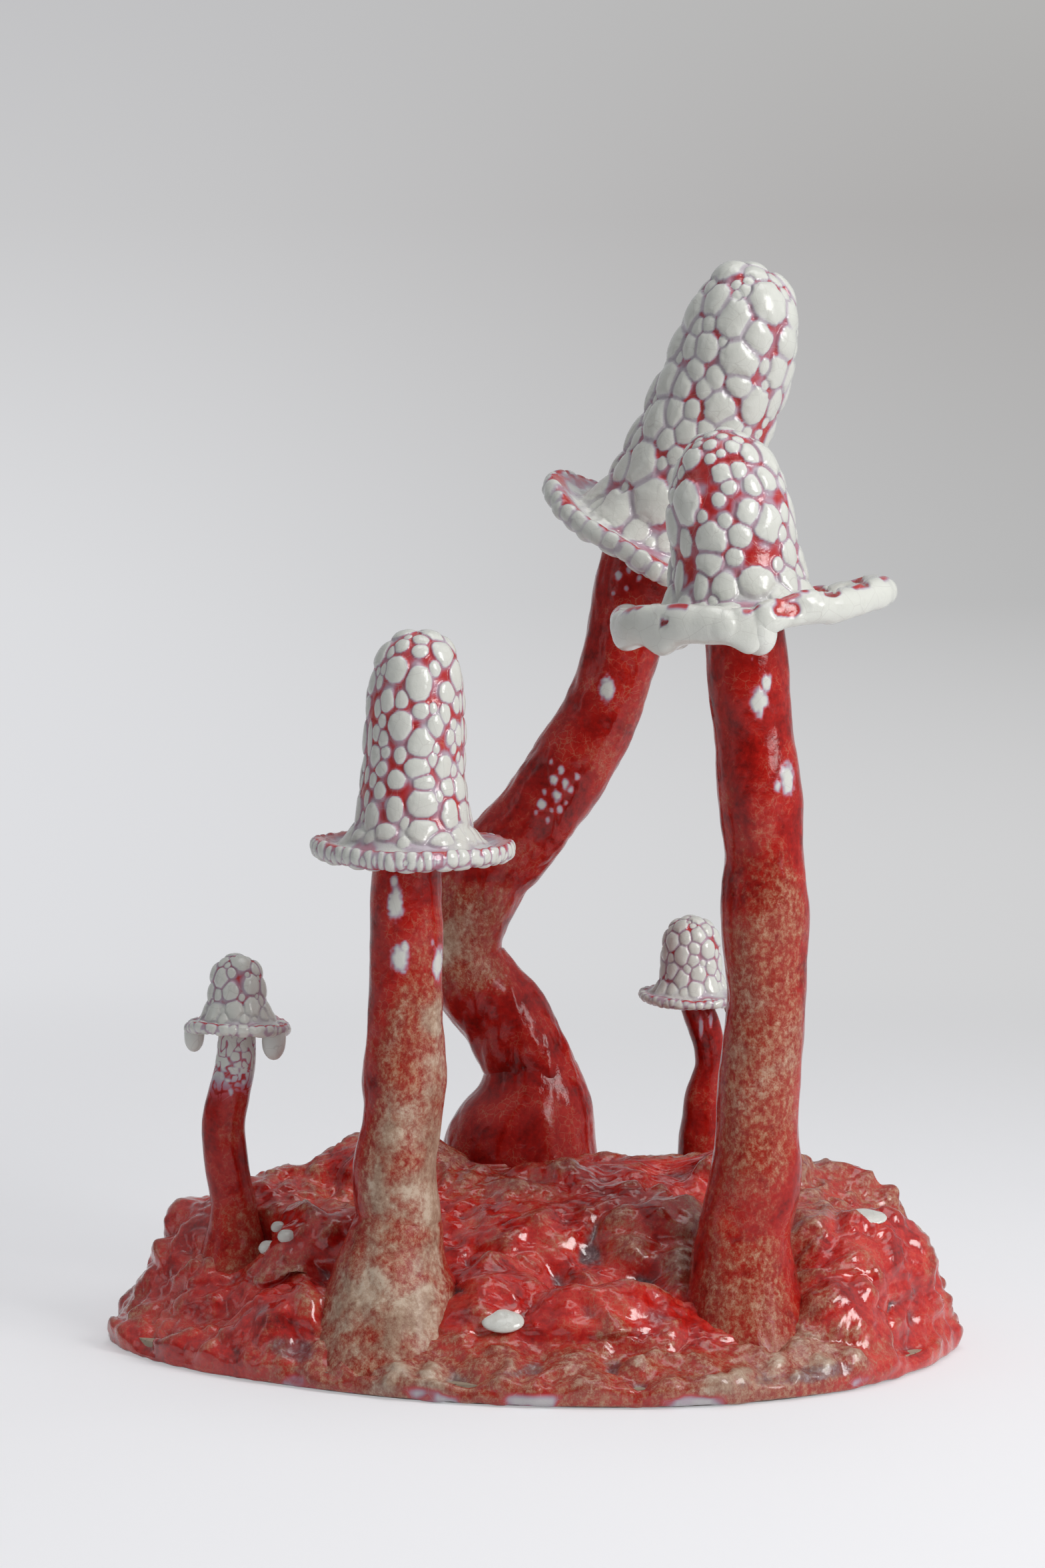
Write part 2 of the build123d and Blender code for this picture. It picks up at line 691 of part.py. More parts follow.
# Beads of glaze under the small left brim
with BuildPart() as small_left_glaze_beads:
    for turn, spread, size in small_left_bead_shares:
        top = bead_top(small_left_cap_plane, small_left_brim_radius, turn, spread)
        radius, length = small_drip_radius * size, small_drip_length * size
        with BuildSketch(Plane(origin=top, x_dir=(1, 0, 0), z_dir=(0, -1, 0))):
            with BuildLine():
                Polyline((0, -length), (0, 0), (radius * bead_top_share, 0))
                Spline(*bead_outline(radius, length), tangents=((0, -1), (-1, 0)))
            make_face()
        revolve(axis=Axis(top, (0, 0, 1)))
    add(small_left_cap.part, mode=Mode.SUBTRACT)
small_left_glaze_beads.part.label = "small_left_glaze_beads"
export_step(small_left_glaze_beads.part, "parts/small_left_glaze_beads.step")

# Bead of glaze under the small back brim
with BuildPart() as small_back_glaze_bead:
    for turn, spread, size in small_back_bead_shares:
        top = bead_top(small_back_cap_plane, small_back_brim_radius, turn, spread)
        radius, length = small_drip_radius * size, small_drip_length * size
        with BuildSketch(Plane(origin=top, x_dir=(1, 0, 0), z_dir=(0, -1, 0))):
            with BuildLine():
                Polyline((0, -length), (0, 0), (radius * bead_top_share, 0))
                Spline(*bead_outline(radius, length), tangents=((0, -1), (-1, 0)))
            make_face()
        revolve(axis=Axis(top, (0, 0, 1)))
    add(small_back_cap.part, mode=Mode.SUBTRACT)
small_back_glaze_bead.part.label = "small_back_glaze_bead"
export_step(small_back_glaze_bead.part, "parts/small_back_glaze_bead.step")


def mound_top(x, y):
    """The point of the mound's surface above a place on the slab."""
    upright = Edge.make_line((x, y, slab_thickness), (x, y, slab_thickness + base_depth))
    return Vector(x, y, upright.intersect(mound_form.part)[0].bounding_box().max.Z)


# Drops of glaze that fell on the mound
with BuildPart() as fallen_glaze_drops:
    for share_x, share_y, size in drop_shares:
        landing = mound_top(share_x * base_length / 2, share_y * base_depth / 2)
        with BuildSketch(Plane(landing).offset(drop_thickness * size)):
            Circle(drop_radius * size)
        extrude(amount=-2 * drop_thickness * size)
    drop_faces = [drop.faces().sort_by(Axis.Z)[-1] for drop in fallen_glaze_drops.solids()]
    fillet([face.edge() for face in drop_faces], radius=drop_rim_fillet)
    add(mound_form.part, mode=Mode.SUBTRACT)
fallen_glaze_drops.part.label = "fallen_glaze_drops"
export_step(fallen_glaze_drops.part, "parts/fallen_glaze_drops.step")
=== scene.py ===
import math

import bpy
import numpy as np
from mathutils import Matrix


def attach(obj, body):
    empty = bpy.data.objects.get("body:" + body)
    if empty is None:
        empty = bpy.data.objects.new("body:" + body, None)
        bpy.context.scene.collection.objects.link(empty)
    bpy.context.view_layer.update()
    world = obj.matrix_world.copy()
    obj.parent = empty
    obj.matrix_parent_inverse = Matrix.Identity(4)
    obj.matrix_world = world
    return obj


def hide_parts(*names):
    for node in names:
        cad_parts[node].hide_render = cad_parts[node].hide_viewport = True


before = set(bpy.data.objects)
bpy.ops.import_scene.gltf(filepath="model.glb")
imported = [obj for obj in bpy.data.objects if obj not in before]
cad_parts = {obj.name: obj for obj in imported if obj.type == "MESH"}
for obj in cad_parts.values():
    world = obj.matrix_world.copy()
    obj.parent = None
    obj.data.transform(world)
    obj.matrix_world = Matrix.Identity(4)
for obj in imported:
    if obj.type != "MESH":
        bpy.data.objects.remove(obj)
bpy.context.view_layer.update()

# The view: the lens stands 1.4 m in front of the piece, at about three quarters of its height,
# and looks slightly down, as a camera on a tripod at a photographer's table does.
mm = 0.001
lens_side, lens_distance, lens_height = -4 * mm, 1400 * mm, 310 * mm
lens_tilt = 3.99  # degrees down from level
camera = bpy.data.objects.new("camera", bpy.data.cameras.new("camera"))
camera.data.sensor_fit = "VERTICAL"
camera.data.sensor_height = 36.0
camera.data.lens = 85.0
camera.data.clip_end = 30.0
camera.location = (lens_side, -lens_distance, lens_height)
camera.rotation_euler = (math.radians(90 - lens_tilt), 0, 0)
bpy.context.scene.collection.objects.link(camera)
bpy.context.scene.camera = camera
bpy.context.scene.view_settings.view_transform = "Standard"

# The studio: a sheet of pale paper runs from the table up behind the piece in one curve. A soft
# lamp to the right, a weaker one to the left, one overhead and the pale walls of the room light it.


def socket(tree, end, value):
    """Puts a value on a node's input, or links another node's output to it."""
    if isinstance(value, bpy.types.NodeSocket):
        tree.links.new(value, end)
    else:
        end.default_value = value


def node(tree, kind, inputs=(), **settings):
    """A new node of a kind, with its settings and its inputs by name or number."""
    made = tree.nodes.new(kind)
    for name, value in settings.items():
        setattr(made, name, value)
    for name, value in dict(inputs).items():
        socket(tree, made.inputs[name], value)
    return made


def output(kind, socket_name, inputs, **settings):
    """The output of a new node, in the tree that the sockets among its inputs belong to."""
    tree = next(value.id_data for value in inputs.values() if isinstance(value, bpy.types.NodeSocket))
    return node(tree, kind, inputs, **settings).outputs[socket_name]


def sums(operation, a, b, c=0.0, clamp=False):
    """A Math node on two or three values."""
    return output("ShaderNodeMath", 0, {0: a, 1: b, 2: c}, operation=operation, use_clamp=clamp)


def between(value, low, high, to_low=0.0, to_high=1.0):
    """A value eased from one range to another: none below low, all above high, an S curve between."""
    inputs = {0: value, 1: low, 2: high, 3: to_low, 4: to_high}
    return output("ShaderNodeMapRange", 0, inputs, interpolation_type="SMOOTHSTEP")


def mixed(factor, a, b):
    """The colour between two colours."""
    return output("ShaderNodeMix", 2, {0: factor, 6: a, 7: b}, data_type="RGBA")


def ramp(factor, *stops):
    """A run of colours: each stop is a place from 0 to 1 and a colour."""
    made = node(factor.id_data, "ShaderNodeValToRGB", {0: factor})
    band = made.color_ramp
    for place, colour in stops[2:]:
        band.elements.new(place)
    for element, (place, colour) in zip(band.elements, stops):
        element.position = place
        element.color = (*colour, 1.0)
    return made.outputs[0]


floor_front, floor_turn, wall_top, sweep_radius = -2.4, 1.3, 3.2, 0.6
bend = np.linspace(0, math.pi / 2, 25)
sweep_y = np.concatenate((
    [floor_front, 0.0], floor_turn + sweep_radius * np.sin(bend), [floor_turn + sweep_radius],
))
sweep_z = np.concatenate(([0.0, 0.0], sweep_radius * (1 - np.cos(bend)), [wall_top]))
sweep_x = np.linspace(-3.0, 3.0, 3)
rows, columns = len(sweep_y), len(sweep_x)
corners = np.stack([
    np.tile(sweep_x, rows), np.repeat(sweep_y, columns), np.repeat(sweep_z, columns),
], axis=1)
first = (np.arange(rows - 1)[:, None] * columns + np.arange(columns - 1)).ravel()
quads = np.stack([first, first + 1, first + 1 + columns, first + columns], axis=1)
paper = bpy.data.meshes.new("paper_sweep")
paper.from_pydata(corners.tolist(), [], quads.tolist())
paper.shade_smooth()
paper_sweep = bpy.data.objects.new("paper_sweep", paper)
bpy.context.scene.collection.objects.link(paper_sweep)

# The paper takes shadows on the table, and further back it mostly glows with a grey of painted light,
# as paper does that has lamps of its own: light at the foot, darker above, and darker on the right.
paper_look = bpy.data.materials.new("pale_paper")
paper_look.use_nodes = True
tree = paper_look.node_tree
tree.nodes.clear()
place = node(tree, "ShaderNodeSeparateXYZ", {0: node(tree, "ShaderNodeTexCoord").outputs["Object"]})
height = between(place.outputs["Z"], 0.0, 1.25)
# Painted light on the wall: lighter low down, falling off upward, and dimmer towards the right.
left_painted_light = ramp(
    height, (0.0, (0.74, 0.745, 0.77)), (0.10, (0.73, 0.735, 0.755)),
    (0.45, (0.59, 0.59, 0.60)), (1.0, (0.49, 0.49, 0.505)),
)
right_painted_light = ramp(
    height, (0.0, (0.63, 0.63, 0.635)), (0.10, (0.475, 0.475, 0.475)),
    (0.45, (0.415, 0.405, 0.40)), (1.0, (0.505, 0.51, 0.50)),
)
wall_painted_light = mixed(between(place.outputs["X"], -0.6, 0.6), left_painted_light, right_painted_light)
table_white = (0.92, 0.92, 0.945, 1)
painted_paper_light = mixed(between(place.outputs["Y"], -0.1, 1.0), table_white, wall_painted_light)
lit = node(tree, "ShaderNodeBsdfPrincipled", {
    "Base Color": (0.90, 0.90, 0.92, 1), "Roughness": 0.85, "Specular IOR Level": 0.2,
})
# For camera rays, and a little for glossy rays, the paper shows this painted light as a glow.
shown = node(tree, "ShaderNodeEmission", {"Color": painted_paper_light, "Strength": 1.0})
ray = node(tree, "ShaderNodeLightPath")
seen = sums("MULTIPLY_ADD", ray.outputs["Is Glossy Ray"], 0.3, ray.outputs["Is Camera Ray"], clamp=True)
share = sums("MULTIPLY", seen, between(place.outputs["Y"], 0.15, 1.2, 0.42, 1.0))
paper_mix = node(tree, "ShaderNodeMixShader", {0: share, 1: lit.outputs[0], 2: shown.outputs[0]})
node(tree, "ShaderNodeOutputMaterial", {0: paper_mix.outputs[0]})
paper.materials.append(paper_look)

room = bpy.data.worlds.new("pale_room")
room.use_nodes = True
tree = room.node_tree
way = node(tree, "ShaderNodeSeparateXYZ", {0: node(tree, "ShaderNodeTexCoord").outputs["Generated"]})
right_wall = between(way.outputs["X"], 0.35, 0.95, 0.0, 0.42)
left_wall = between(sums("MULTIPLY", way.outputs["X"], -1.0), 0.35, 0.95, 0.0, 0.10)
ceiling = between(way.outputs["Z"], 0.15, 0.9, 0.0, 0.30)
glow = sums("ADD", sums("ADD", 0.10, right_wall), sums("ADD", left_wall, ceiling))
socket(tree, tree.nodes["Background"].inputs["Strength"], glow)
tree.nodes["Background"].inputs["Color"].default_value = (0.95, 0.97, 1.0, 1)
bpy.context.scene.world = room


def lamp(name, place, aim, width, depth, watts, colour):
    """A rectangular soft lamp at a place, turned to face another."""
    made = bpy.data.objects.new(name, bpy.data.lights.new(name, "AREA"))
    made.data.shape = "RECTANGLE"
    made.data.size, made.data.size_y = width, depth
    made.data.energy = watts
    made.data.color = colour
    made.location = place
    x, y, z = np.array(aim) - np.array(place)
    made.rotation_euler = (math.atan2(math.hypot(x, y), -z), 0, math.atan2(y, x) - math.pi / 2)
    bpy.context.scene.collection.objects.link(made)


lamp("right_softbox", (0.98, -0.82, 0.80), (0.04, 0.0, 0.22), 0.50, 0.72, 12.0, (1.0, 0.985, 0.97))
lamp("left_softbox", (-1.7, -0.5, 0.8), (0.0, 0.0, 0.2), 0.5, 1.2, 1.2, (0.95, 0.975, 1.0))
lamp("top_softbox", (0.25, -0.1, 1.6), (0.0, 0.0, 0.1), 1.0, 0.9, 5.5, (1.0, 1.0, 1.0))

# Base slab: a flat oval of coarse buff stoneware that the whole piece was built up on. It is left
# bare underneath, where it stood on the kiln shelf, and the mound's glaze runs down over its edge.


def cloudy(coords, scale, detail, roughness=0.5, distortion=0.0):
    """The value of a noise texture at coordinates."""
    return output("ShaderNodeTexNoise", 0, {
        "Vector": coords, "Scale": scale, "Detail": detail, "Roughness": roughness, "Distortion": distortion,
    })


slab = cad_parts["base_slab"]
bare_clay = bpy.data.materials.new("bare_clay")
bare_clay.use_nodes = True
tree = bare_clay.node_tree
shader = tree.nodes["Principled BSDF"]
coords = node(tree, "ShaderNodeTexCoord").outputs["Object"]
grog = cloudy(coords, 420.0, 5.0, 0.65)
specks = output("ShaderNodeTexVoronoi", "Distance", {"Vector": coords, "Scale": 260.0})
body = ramp(cloudy(coords, 28.0, 4.0, 0.55), (0.3, (0.30, 0.235, 0.17)), (0.7, (0.42, 0.345, 0.26)))
body = mixed(between(grog, 0.5, 0.72, 0.0, 0.55), body, (0.20, 0.16, 0.125, 1))
body = mixed(between(specks, 0.10, 0.20, 0.7, 0.0), body, (0.10, 0.07, 0.05, 1))
socket(tree, shader.inputs["Base Color"], body)
shader.inputs["Roughness"].default_value = 0.85
rough = output("ShaderNodeBump", 0, {"Strength": 0.5, "Distance": 0.0006, "Height": grog})
socket(tree, shader.inputs["Normal"], rough)
slab.data.materials.clear()
slab.data.materials.append(bare_clay)

# Mound: wads of clay pushed together over the slab into a craggy hill and hollowed from below,
# then flooded with a thick glossy red glaze that pools grey in the folds and breaks buff on edges.
# The darkest grey in the folds is painted shade.


def chance(x, y, z, seed):
    """A repeatable number from 0 to 1 for each whole-number point: x, y, z and the seed are each
    multiplied by a large prime and added, and shifts and one more product stir the sum."""
    stirred = (x * 374761393 + y * 668265263 + z * 1440662683 + seed * 974634777) & 0xFFFFFFFF
    stirred = ((stirred ^ (stirred >> 13)) * 1274126177) & 0xFFFFFFFF
    return ((stirred ^ (stirred >> 16)) & 0xFFFFFF) / 0xFFFFFF


def noise(points, size, seed):
    """Smooth noise from -1 to 1: chances at the corners of cubes of a size, blended across each
    cube by the quintic ease 6t^5 - 15t^4 + 10t^3 along each axis."""
    place = points / size
    corner = np.floor(place)
    t = place - corner
    t = t * t * t * (t * (t * 6 - 15) + 10)
    x, y, z = np.moveaxis(corner.astype(np.int64), -1, 0)
    total = np.zeros(points.shape[:-1])
    for i in (0, 1):
        for j in (0, 1):
            for k in (0, 1):
                weight = (
                    (t[..., 0] if i else 1 - t[..., 0]) * (t[..., 1] if j else 1 - t[..., 1])
                    * (t[..., 2] if k else 1 - t[..., 2])
                )
                total += weight * chance(x + i, y + j, z + k, seed)
    return 2 * total - 1


def layered(points, size, seed, layers=4):
    """Noise with finer and fainter copies of itself: each layer has half the size and half the
    height of the one before, and the sum is divided by the sum of the heights."""
    total, height = 0.0, 0.0
    for layer in range(layers):
        total = total + noise(points, size * 0.5 ** layer, seed + 17 * layer) * 0.5 ** layer
        height += 0.5 ** layer
    return total / height


def pushed(points, size, amount, seed):
    """Points moved by three noises of one size, so that a pattern read there loses its grid."""
    moves = [noise(points, size, seed + 101 * axis) for axis in range(3)]
    return points + amount * np.stack(moves, axis=-1)


def eased(value, low, high):
    """Rises from 0 at low to 1 at high on the S curve 3t^2 - 2t^3."""
    t = np.clip((value - low) / (high - low), 0, 1)
    return t * t * (3 - 2 * t)


def smooth(rows, at):
    """The later columns of a table at places along its first: a cubic from row to row, whose slope
    at a row is that of its neighbours."""
    rows = np.asarray(rows, float)
    x, y = rows[:, 0], rows[:, 1:]
    slope = np.gradient(y, x, axis=0)
    i = np.clip(np.searchsorted(x, at, side="right") - 1, 0, len(x) - 2)
    step = (x[i + 1] - x[i])[..., None]
    t = (np.asarray(at) - x[i])[..., None] / step
    return (
        y[i] * (1 + 2 * t) * (1 - t) ** 2 + slope[i] * step * t * (1 - t) ** 2
        + y[i + 1] * t * t * (3 - 2 * t) + slope[i + 1] * step * t * t * (t - 1)
    )


def full_turn(count):
    """Even steps round a circle, in radians."""
    return np.linspace(0, 2 * np.pi, count, endpoint=False)


def around(rows, turns):
    """A table by degrees, read at turns in radians, with its ends joined."""
    rows = np.asarray(rows, float)
    before, after = rows.copy(), rows.copy()
    before[:, 0] -= 360
    after[:, 0] += 360
    return smooth(np.vstack([before, rows, after]), np.degrees(turns) % 360)[..., 0]


def outward(grid):
    """Unit normals of a closed-round grid: the step round each ring crossed with the step along."""
    across = np.roll(grid, -1, axis=1) - np.roll(grid, 1, axis=1)
    along = np.gradient(grid, axis=0)
    normal = np.cross(across, along)
    return normal / np.maximum(np.linalg.norm(normal, axis=-1, keepdims=True), 1e-9)


def blurred(field, reach, passes):
    """A field averaged with itself moved by a reach along and round the grid, a few times."""
    for _ in range(passes):
        ends = np.pad(field, ((reach, reach), (0, 0)), mode="edge")
        field = (
            2 * field + np.roll(field, reach, axis=1) + np.roll(field, -reach, axis=1)
            + ends[: -2 * reach] + ends[2 * reach:]
        ) / 6
    return field


def skin(name, grid, look, body_slot, node_name, white=0.0, buff=0.0, hollow=0.0):
    """A closed mesh from a grid in millimetres, rings by points round: four-sided faces between
    rings, and a fan to a point at each end. The last three become attributes of its points."""
    rings, count = grid.shape[:2]
    points = np.vstack([grid.reshape(-1, 3), grid[0].mean(axis=0), grid[-1].mean(axis=0)]) * mm
    i = (np.arange(rings - 1)[:, None] * count + np.arange(count)).ravel()
    j = (np.arange(rings - 1)[:, None] * count + (np.arange(count) + 1) % count).ravel()
    sides = np.stack([i, j, j + count, i + count], axis=1).tolist()
    low, high = rings * count, rings * count + 1
    ring, after = np.arange(count), (np.arange(count) + 1) % count
    last = (rings - 1) * count
    ends = np.stack([after, ring, np.full(count, low)], axis=1).tolist()
    ends += np.stack([last + ring, last + after, np.full(count, high)], axis=1).tolist()
    mesh = bpy.data.meshes.new(name)
    mesh.from_pydata(points.tolist(), [], sides + ends)
    for label, field in (("white", white), ("buff", buff), ("hollow", hollow)):
        field = np.broadcast_to(field, (rings, count))
        values = np.concatenate([field.ravel(), [field[0].mean(), field[-1].mean()]])
        mesh.attributes.new(label, "FLOAT", "POINT").data.foreach_set("value", values.astype(np.float32))
    mesh.materials.append(look)
    mesh.shade_smooth()
    piece = bpy.data.objects.new(name, mesh)
    bpy.context.scene.collection.objects.link(piece)
    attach(piece, "root")
    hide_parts(node_name)


def red_layers(coords, colours, broad, fine, fibre, edge, hollow):
    """The red glaze: mottled through its three colours with pale veins, breaking to rust and then
    to bare clay as edge rises, and grey in pools where hollow is high, darkening to painted shade in the
    deepest creases and dents."""
    deep, bright, thin = colours
    tone = sums("MULTIPLY_ADD", fine, 0.35, sums("MULTIPLY", broad, 0.75))
    red = ramp(tone, (0.36, deep), (0.55, bright), (0.74, thin))
    warp = output("ShaderNodeTexNoise", "Color", {"Vector": coords, "Scale": 210.0, "Detail": 3.0})
    shifted = {0: warp, 1: (0.006, 0.006, 0.006), 2: coords}
    warped = output("ShaderNodeVectorMath", 0, shifted, operation="MULTIPLY_ADD")
    vein = output("ShaderNodeTexVoronoi", 0, {"Vector": warped, "Scale": 330.0}, feature="DISTANCE_TO_EDGE")
    veined = sums("MULTIPLY", between(vein, 0.0, 0.07, 0.42, 0.0), between(broad, 0.46, 0.62))
    red = mixed(veined, red, (0.44, 0.20, 0.12, 1))
    rust = ramp(
        fibre, (0.38, (0.26, 0.016, 0.009)), (0.48, (0.33, 0.050, 0.028)),
        (0.56, (0.40, 0.15, 0.085)), (0.64, (0.47, 0.24, 0.15)),
    )
    clay = ramp(
        sums("MULTIPLY_ADD", fibre, 0.5, sums("MULTIPLY", broad, 0.5)),
        (0.38, (0.22, 0.115, 0.075)), (0.50, (0.40, 0.265, 0.185)), (0.60, (0.57, 0.45, 0.345)),
    )
    colour = mixed(between(edge, 0.10, 0.55), red, rust)
    colour = mixed(between(edge, 0.50, 1.0), colour, clay)
    # Grey of glaze gathered in hollows, running down to near black as painted shade in creases and dents.
    pool_grey_and_shade = ramp(fine, (0.35, (0.060, 0.036, 0.04)), (0.55, (0.14, 0.10, 0.11)), (0.72, (0.34, 0.30, 0.31)))
    pool_and_shade_share = sums("MULTIPLY_ADD", fine, 0.4, sums("ADD", hollow, -0.2))
    return mixed(between(pool_and_shade_share, 0.26, 0.82, 0.0, 0.9), colour, pool_grey_and_shade)


def glaze(name, colours, bead, gloss, coat=0.22, shine=0.45):
    """The glazed surface: the red layers in three colours, breaking to buff where the attribute buff
    is high, under white glaze that goes from a pink milky veil through grey to bead where white is high.
    The grey round the edges of the beads is partly thin glaze over red and partly painted shade."""
    look = bpy.data.materials.new(name)
    look.use_nodes = True
    tree = look.node_tree
    shader = tree.nodes["Principled BSDF"]
    coords = node(tree, "ShaderNodeTexCoord").outputs["Object"]
    white, buff, hollow = (
        node(tree, "ShaderNodeAttribute", attribute_name=label).outputs["Fac"]
        for label in ("white", "buff", "hollow")
    )
    broad = cloudy(coords, 62.0, 5.0, 0.62, 0.5)
    fine = cloudy(coords, 520.0, 4.0, 0.6)
    drawn = output("ShaderNodeMapping", 0, {"Vector": coords, "Scale": (1.0, 1.0, 0.8)})
    fibre = cloudy(drawn, 430.0, 7.0, 0.80, 0.15)
    edge = sums("MULTIPLY_ADD", broad, 0.65, sums("ADD", buff, -0.70))
    edge = sums("MULTIPLY_ADD", fibre, 0.75, edge)
    colour = red_layers(coords, colours, broad, fine, fibre, edge, hollow)
    # The grey stops before ivory are thin white glaze over red, and partly painted shade round the edges of
    # the beads.
    veil = ramp(
        between(white, 0.0, 1.0),
        (0.0, colours[1]), (0.18, (0.44, 0.060, 0.075)), (0.38, (0.42, 0.20, 0.26)),
        (0.58, (0.44, 0.37, 0.43)), (0.76, (0.55, 0.54, 0.54)), (0.90, (0.63, 0.635, 0.595)), (1.0, bead),
    )
    cover = sums("MULTIPLY_ADD", fine, 0.12, sums("ADD", white, -0.06))
    cover = between(cover, 0.02, 0.30)
    colour = mixed(cover, colour, veil)
    crack = output("ShaderNodeTexVoronoi", 0, {"Vector": coords, "Scale": 125.0}, feature="DISTANCE_TO_EDGE")
    crack = sums("MULTIPLY", between(crack, 0.0, 0.018, 0.35, 0.0), cover)
    colour = mixed(crack, colour, (0.42, 0.40, 0.37, 1))
    socket(tree, shader.inputs["Base Color"], colour)
    matt = sums("MULTIPLY", between(edge, 0.38, 0.78), sums("SUBTRACT", 1.0, cover))
    sheen = sums("MULTIPLY_ADD", matt, 0.26, sums("MULTIPLY_ADD", broad, 0.12, gloss))
    socket(tree, shader.inputs["Roughness"], sheen)
    shader.inputs["Specular IOR Level"].default_value = shine
    shader.inputs["Coat Weight"].default_value = coat
    shader.inputs["Coat Roughness"].default_value = 0.06
    relief = sums("ADD", fine, sums("MULTIPLY", matt, fine))
    relief = sums("MULTIPLY_ADD", cloudy(coords, 1500.0, 2.0), 0.15, relief)
    bump = output("ShaderNodeBump", 0, {"Strength": 0.32, "Distance": 0.0005, "Height": relief})
    socket(tree, shader.inputs["Normal"], bump)
    return look


ivory = (0.64, 0.65, 0.60)
mound_reds = ((0.15, 0.004, 0.003), (0.50, 0.012, 0.008), (0.66, 0.065, 0.040))
red_glaze = glaze("red_glaze", mound_reds, ivory, gloss=0.05, coat=0.55)

# Degrees round the mound's oval, and share of the oval's radius
plan_wobble = (
    (0, 1), (20, 0.98), (42, 0.95), (66, 0.98), (90, 1), (114, 0.98), (138, 0.94), (160, 0.97), (180, 1),
    (197, 0.965), (214, 0.92), (234, 0.9), (252, 0.935), (270, 0.985), (290, 1.045), (310, 1.045),
    (330, 1.01), (346, 1),
)
# Each row: place up the slope, height, middle of the contour along x and y, its half size along x and y
contours = (
    (0, 2.5, 0, 0, 150, 106), (0.03, 0.9, 0, 0, 160.8, 115.8), (0.06, 3.6, 0, 0, 162.6, 117.4),
    (0.09, 7.6, 0.1, 0.2, 162.2, 117), (0.13, 11, 0.8, 1.2, 158.4, 111), (0.22, 14.2, 1.8, 3.4, 154.4, 100),
    (0.32, 20.5, 2.8, 5.2, 152.2, 90.5), (0.48, 33, 4.5, 11, 147, 73), (0.66, 47, 5.4, 15, 135.5, 55),
    (0.8, 56.5, 11, 15, 119.5, 37.5), (0.9, 62.3, 8, 14, 104, 22), (0.96, 64.3, 7, 13.5, 74, 12),
    (1, 64.8, 7, 13.5, 30, 4),
)
# Each lump: its middle, its half sizes along x and y, and the height of its top
lumps = (
    (-60, 14, 33, 20, 74.5), (84, 10, 31, 21, 72), (-76, -20, 29, 26, 55), (110, -20, 37, 37, 52),
    (-98, 4, 22, 20, 60), (22, -72, 30, 17, 33), (-18, -64, 22, 18, 38), (-84, -58, 24, 15, 31),
    (44, -30, 22, 15, 55), (108, -60, 20, 16, 33),
)
slab_top = 7
lump_spread, lump_blend, press_spread = 1.25, 3.5, 1.15
wad_height, fold_height, pinch_height, flow_share = 3.8, 7.5, 4.0, 0.82
rings_up, points_round = 208, 456
up = np.linspace(0, 1, rings_up)
turn = full_turn(points_round)
contour = smooth(contours, up)
wobble = around(plan_wobble, turn)
mound = np.stack([
    contour[:, 1, None] + contour[:, 3, None] * wobble * np.cos(turn),
    contour[:, 2, None] + contour[:, 4, None] * wobble * np.sin(turn),
    np.repeat(contour[:, 0, None], points_round, axis=1),
], axis=-1)
on_slope = up[:, None] > 0.1
# A lump's side falls as the distance to the power 4, and it joins the hill by a soft maximum
for x, y, half_x, half_y, top in lumps:
    off = np.hypot((mound[..., 0] - x) / half_x, (mound[..., 1] - y) / half_y)
    rise = slab_top + (top - slab_top) * (1 - np.clip(off / lump_spread, 0, 1) ** 4)
    over = (rise - mound[..., 2]) / lump_blend
    lifted = lump_blend * np.log1p(np.exp(np.clip(over, -30, 6)))
    mound[..., 2] += lifted * on_slope * eased(1.3 - off, 0, 0.3)
mound[..., 2] = np.where(on_slope, blurred(mound[..., 2], 2, 2), mound[..., 2])

# The wads' swells and the hollows pressed between them: middle, reach, and how far out
presses = (
    (40, -42, 44, 15, 4.5), (62, -30, 52, 12, 3), (30, -84, 24, 16, 3.5), (-2, -80, 26, 12, 3),
    (-24, -90, 18, 13, 2.5), (12, -60, 33, 10, -5), (36, -62, 34, 8, -4), (22, -50, 42, 7, -4.5),
    (44, -60, 36, 7, -5), (0, -46, 44, 12, 3.5), (-16, -40, 50, 10, 3), (-30, -30, 55, 9, -3),
    (132, -36, 40, 16, 4.5), (120, -64, 26, 14, 3), (104, -84, 16, 12, 2.5), (140, -10, 36, 12, 3),
    (-96, -46, 32, 15, 4), (-118, -34, 28, 12, 3), (-84, -70, 22, 12, 3), (-104, -22, 42, 10, -3.5),
    (-132, -20, 30, 12, 3.5), (-126, 0, 44, 12, 3), (-70, -40, 44, 12, 3), (98, -40, 48, 10, 3),
    (50, -92, 20, 10, 2.5), (-30, -66, 32, 8, -3), (-20, -100, 10, 10, -2), (70, -104, 10, 10, 1.5),
    (0, 70, 40, 16, 4), (-50, 74, 34, 16, 4.5), (60, 84, 28, 15, 4), (100, 58, 36, 16, 4),
    (-96, 48, 36, 15, 4), (-20, 96, 18, 14, 3), (30, 60, 46, 12, -3.5), (128, 30, 38, 13, 3.5),
    (-130, 26, 34, 12, 3),
)
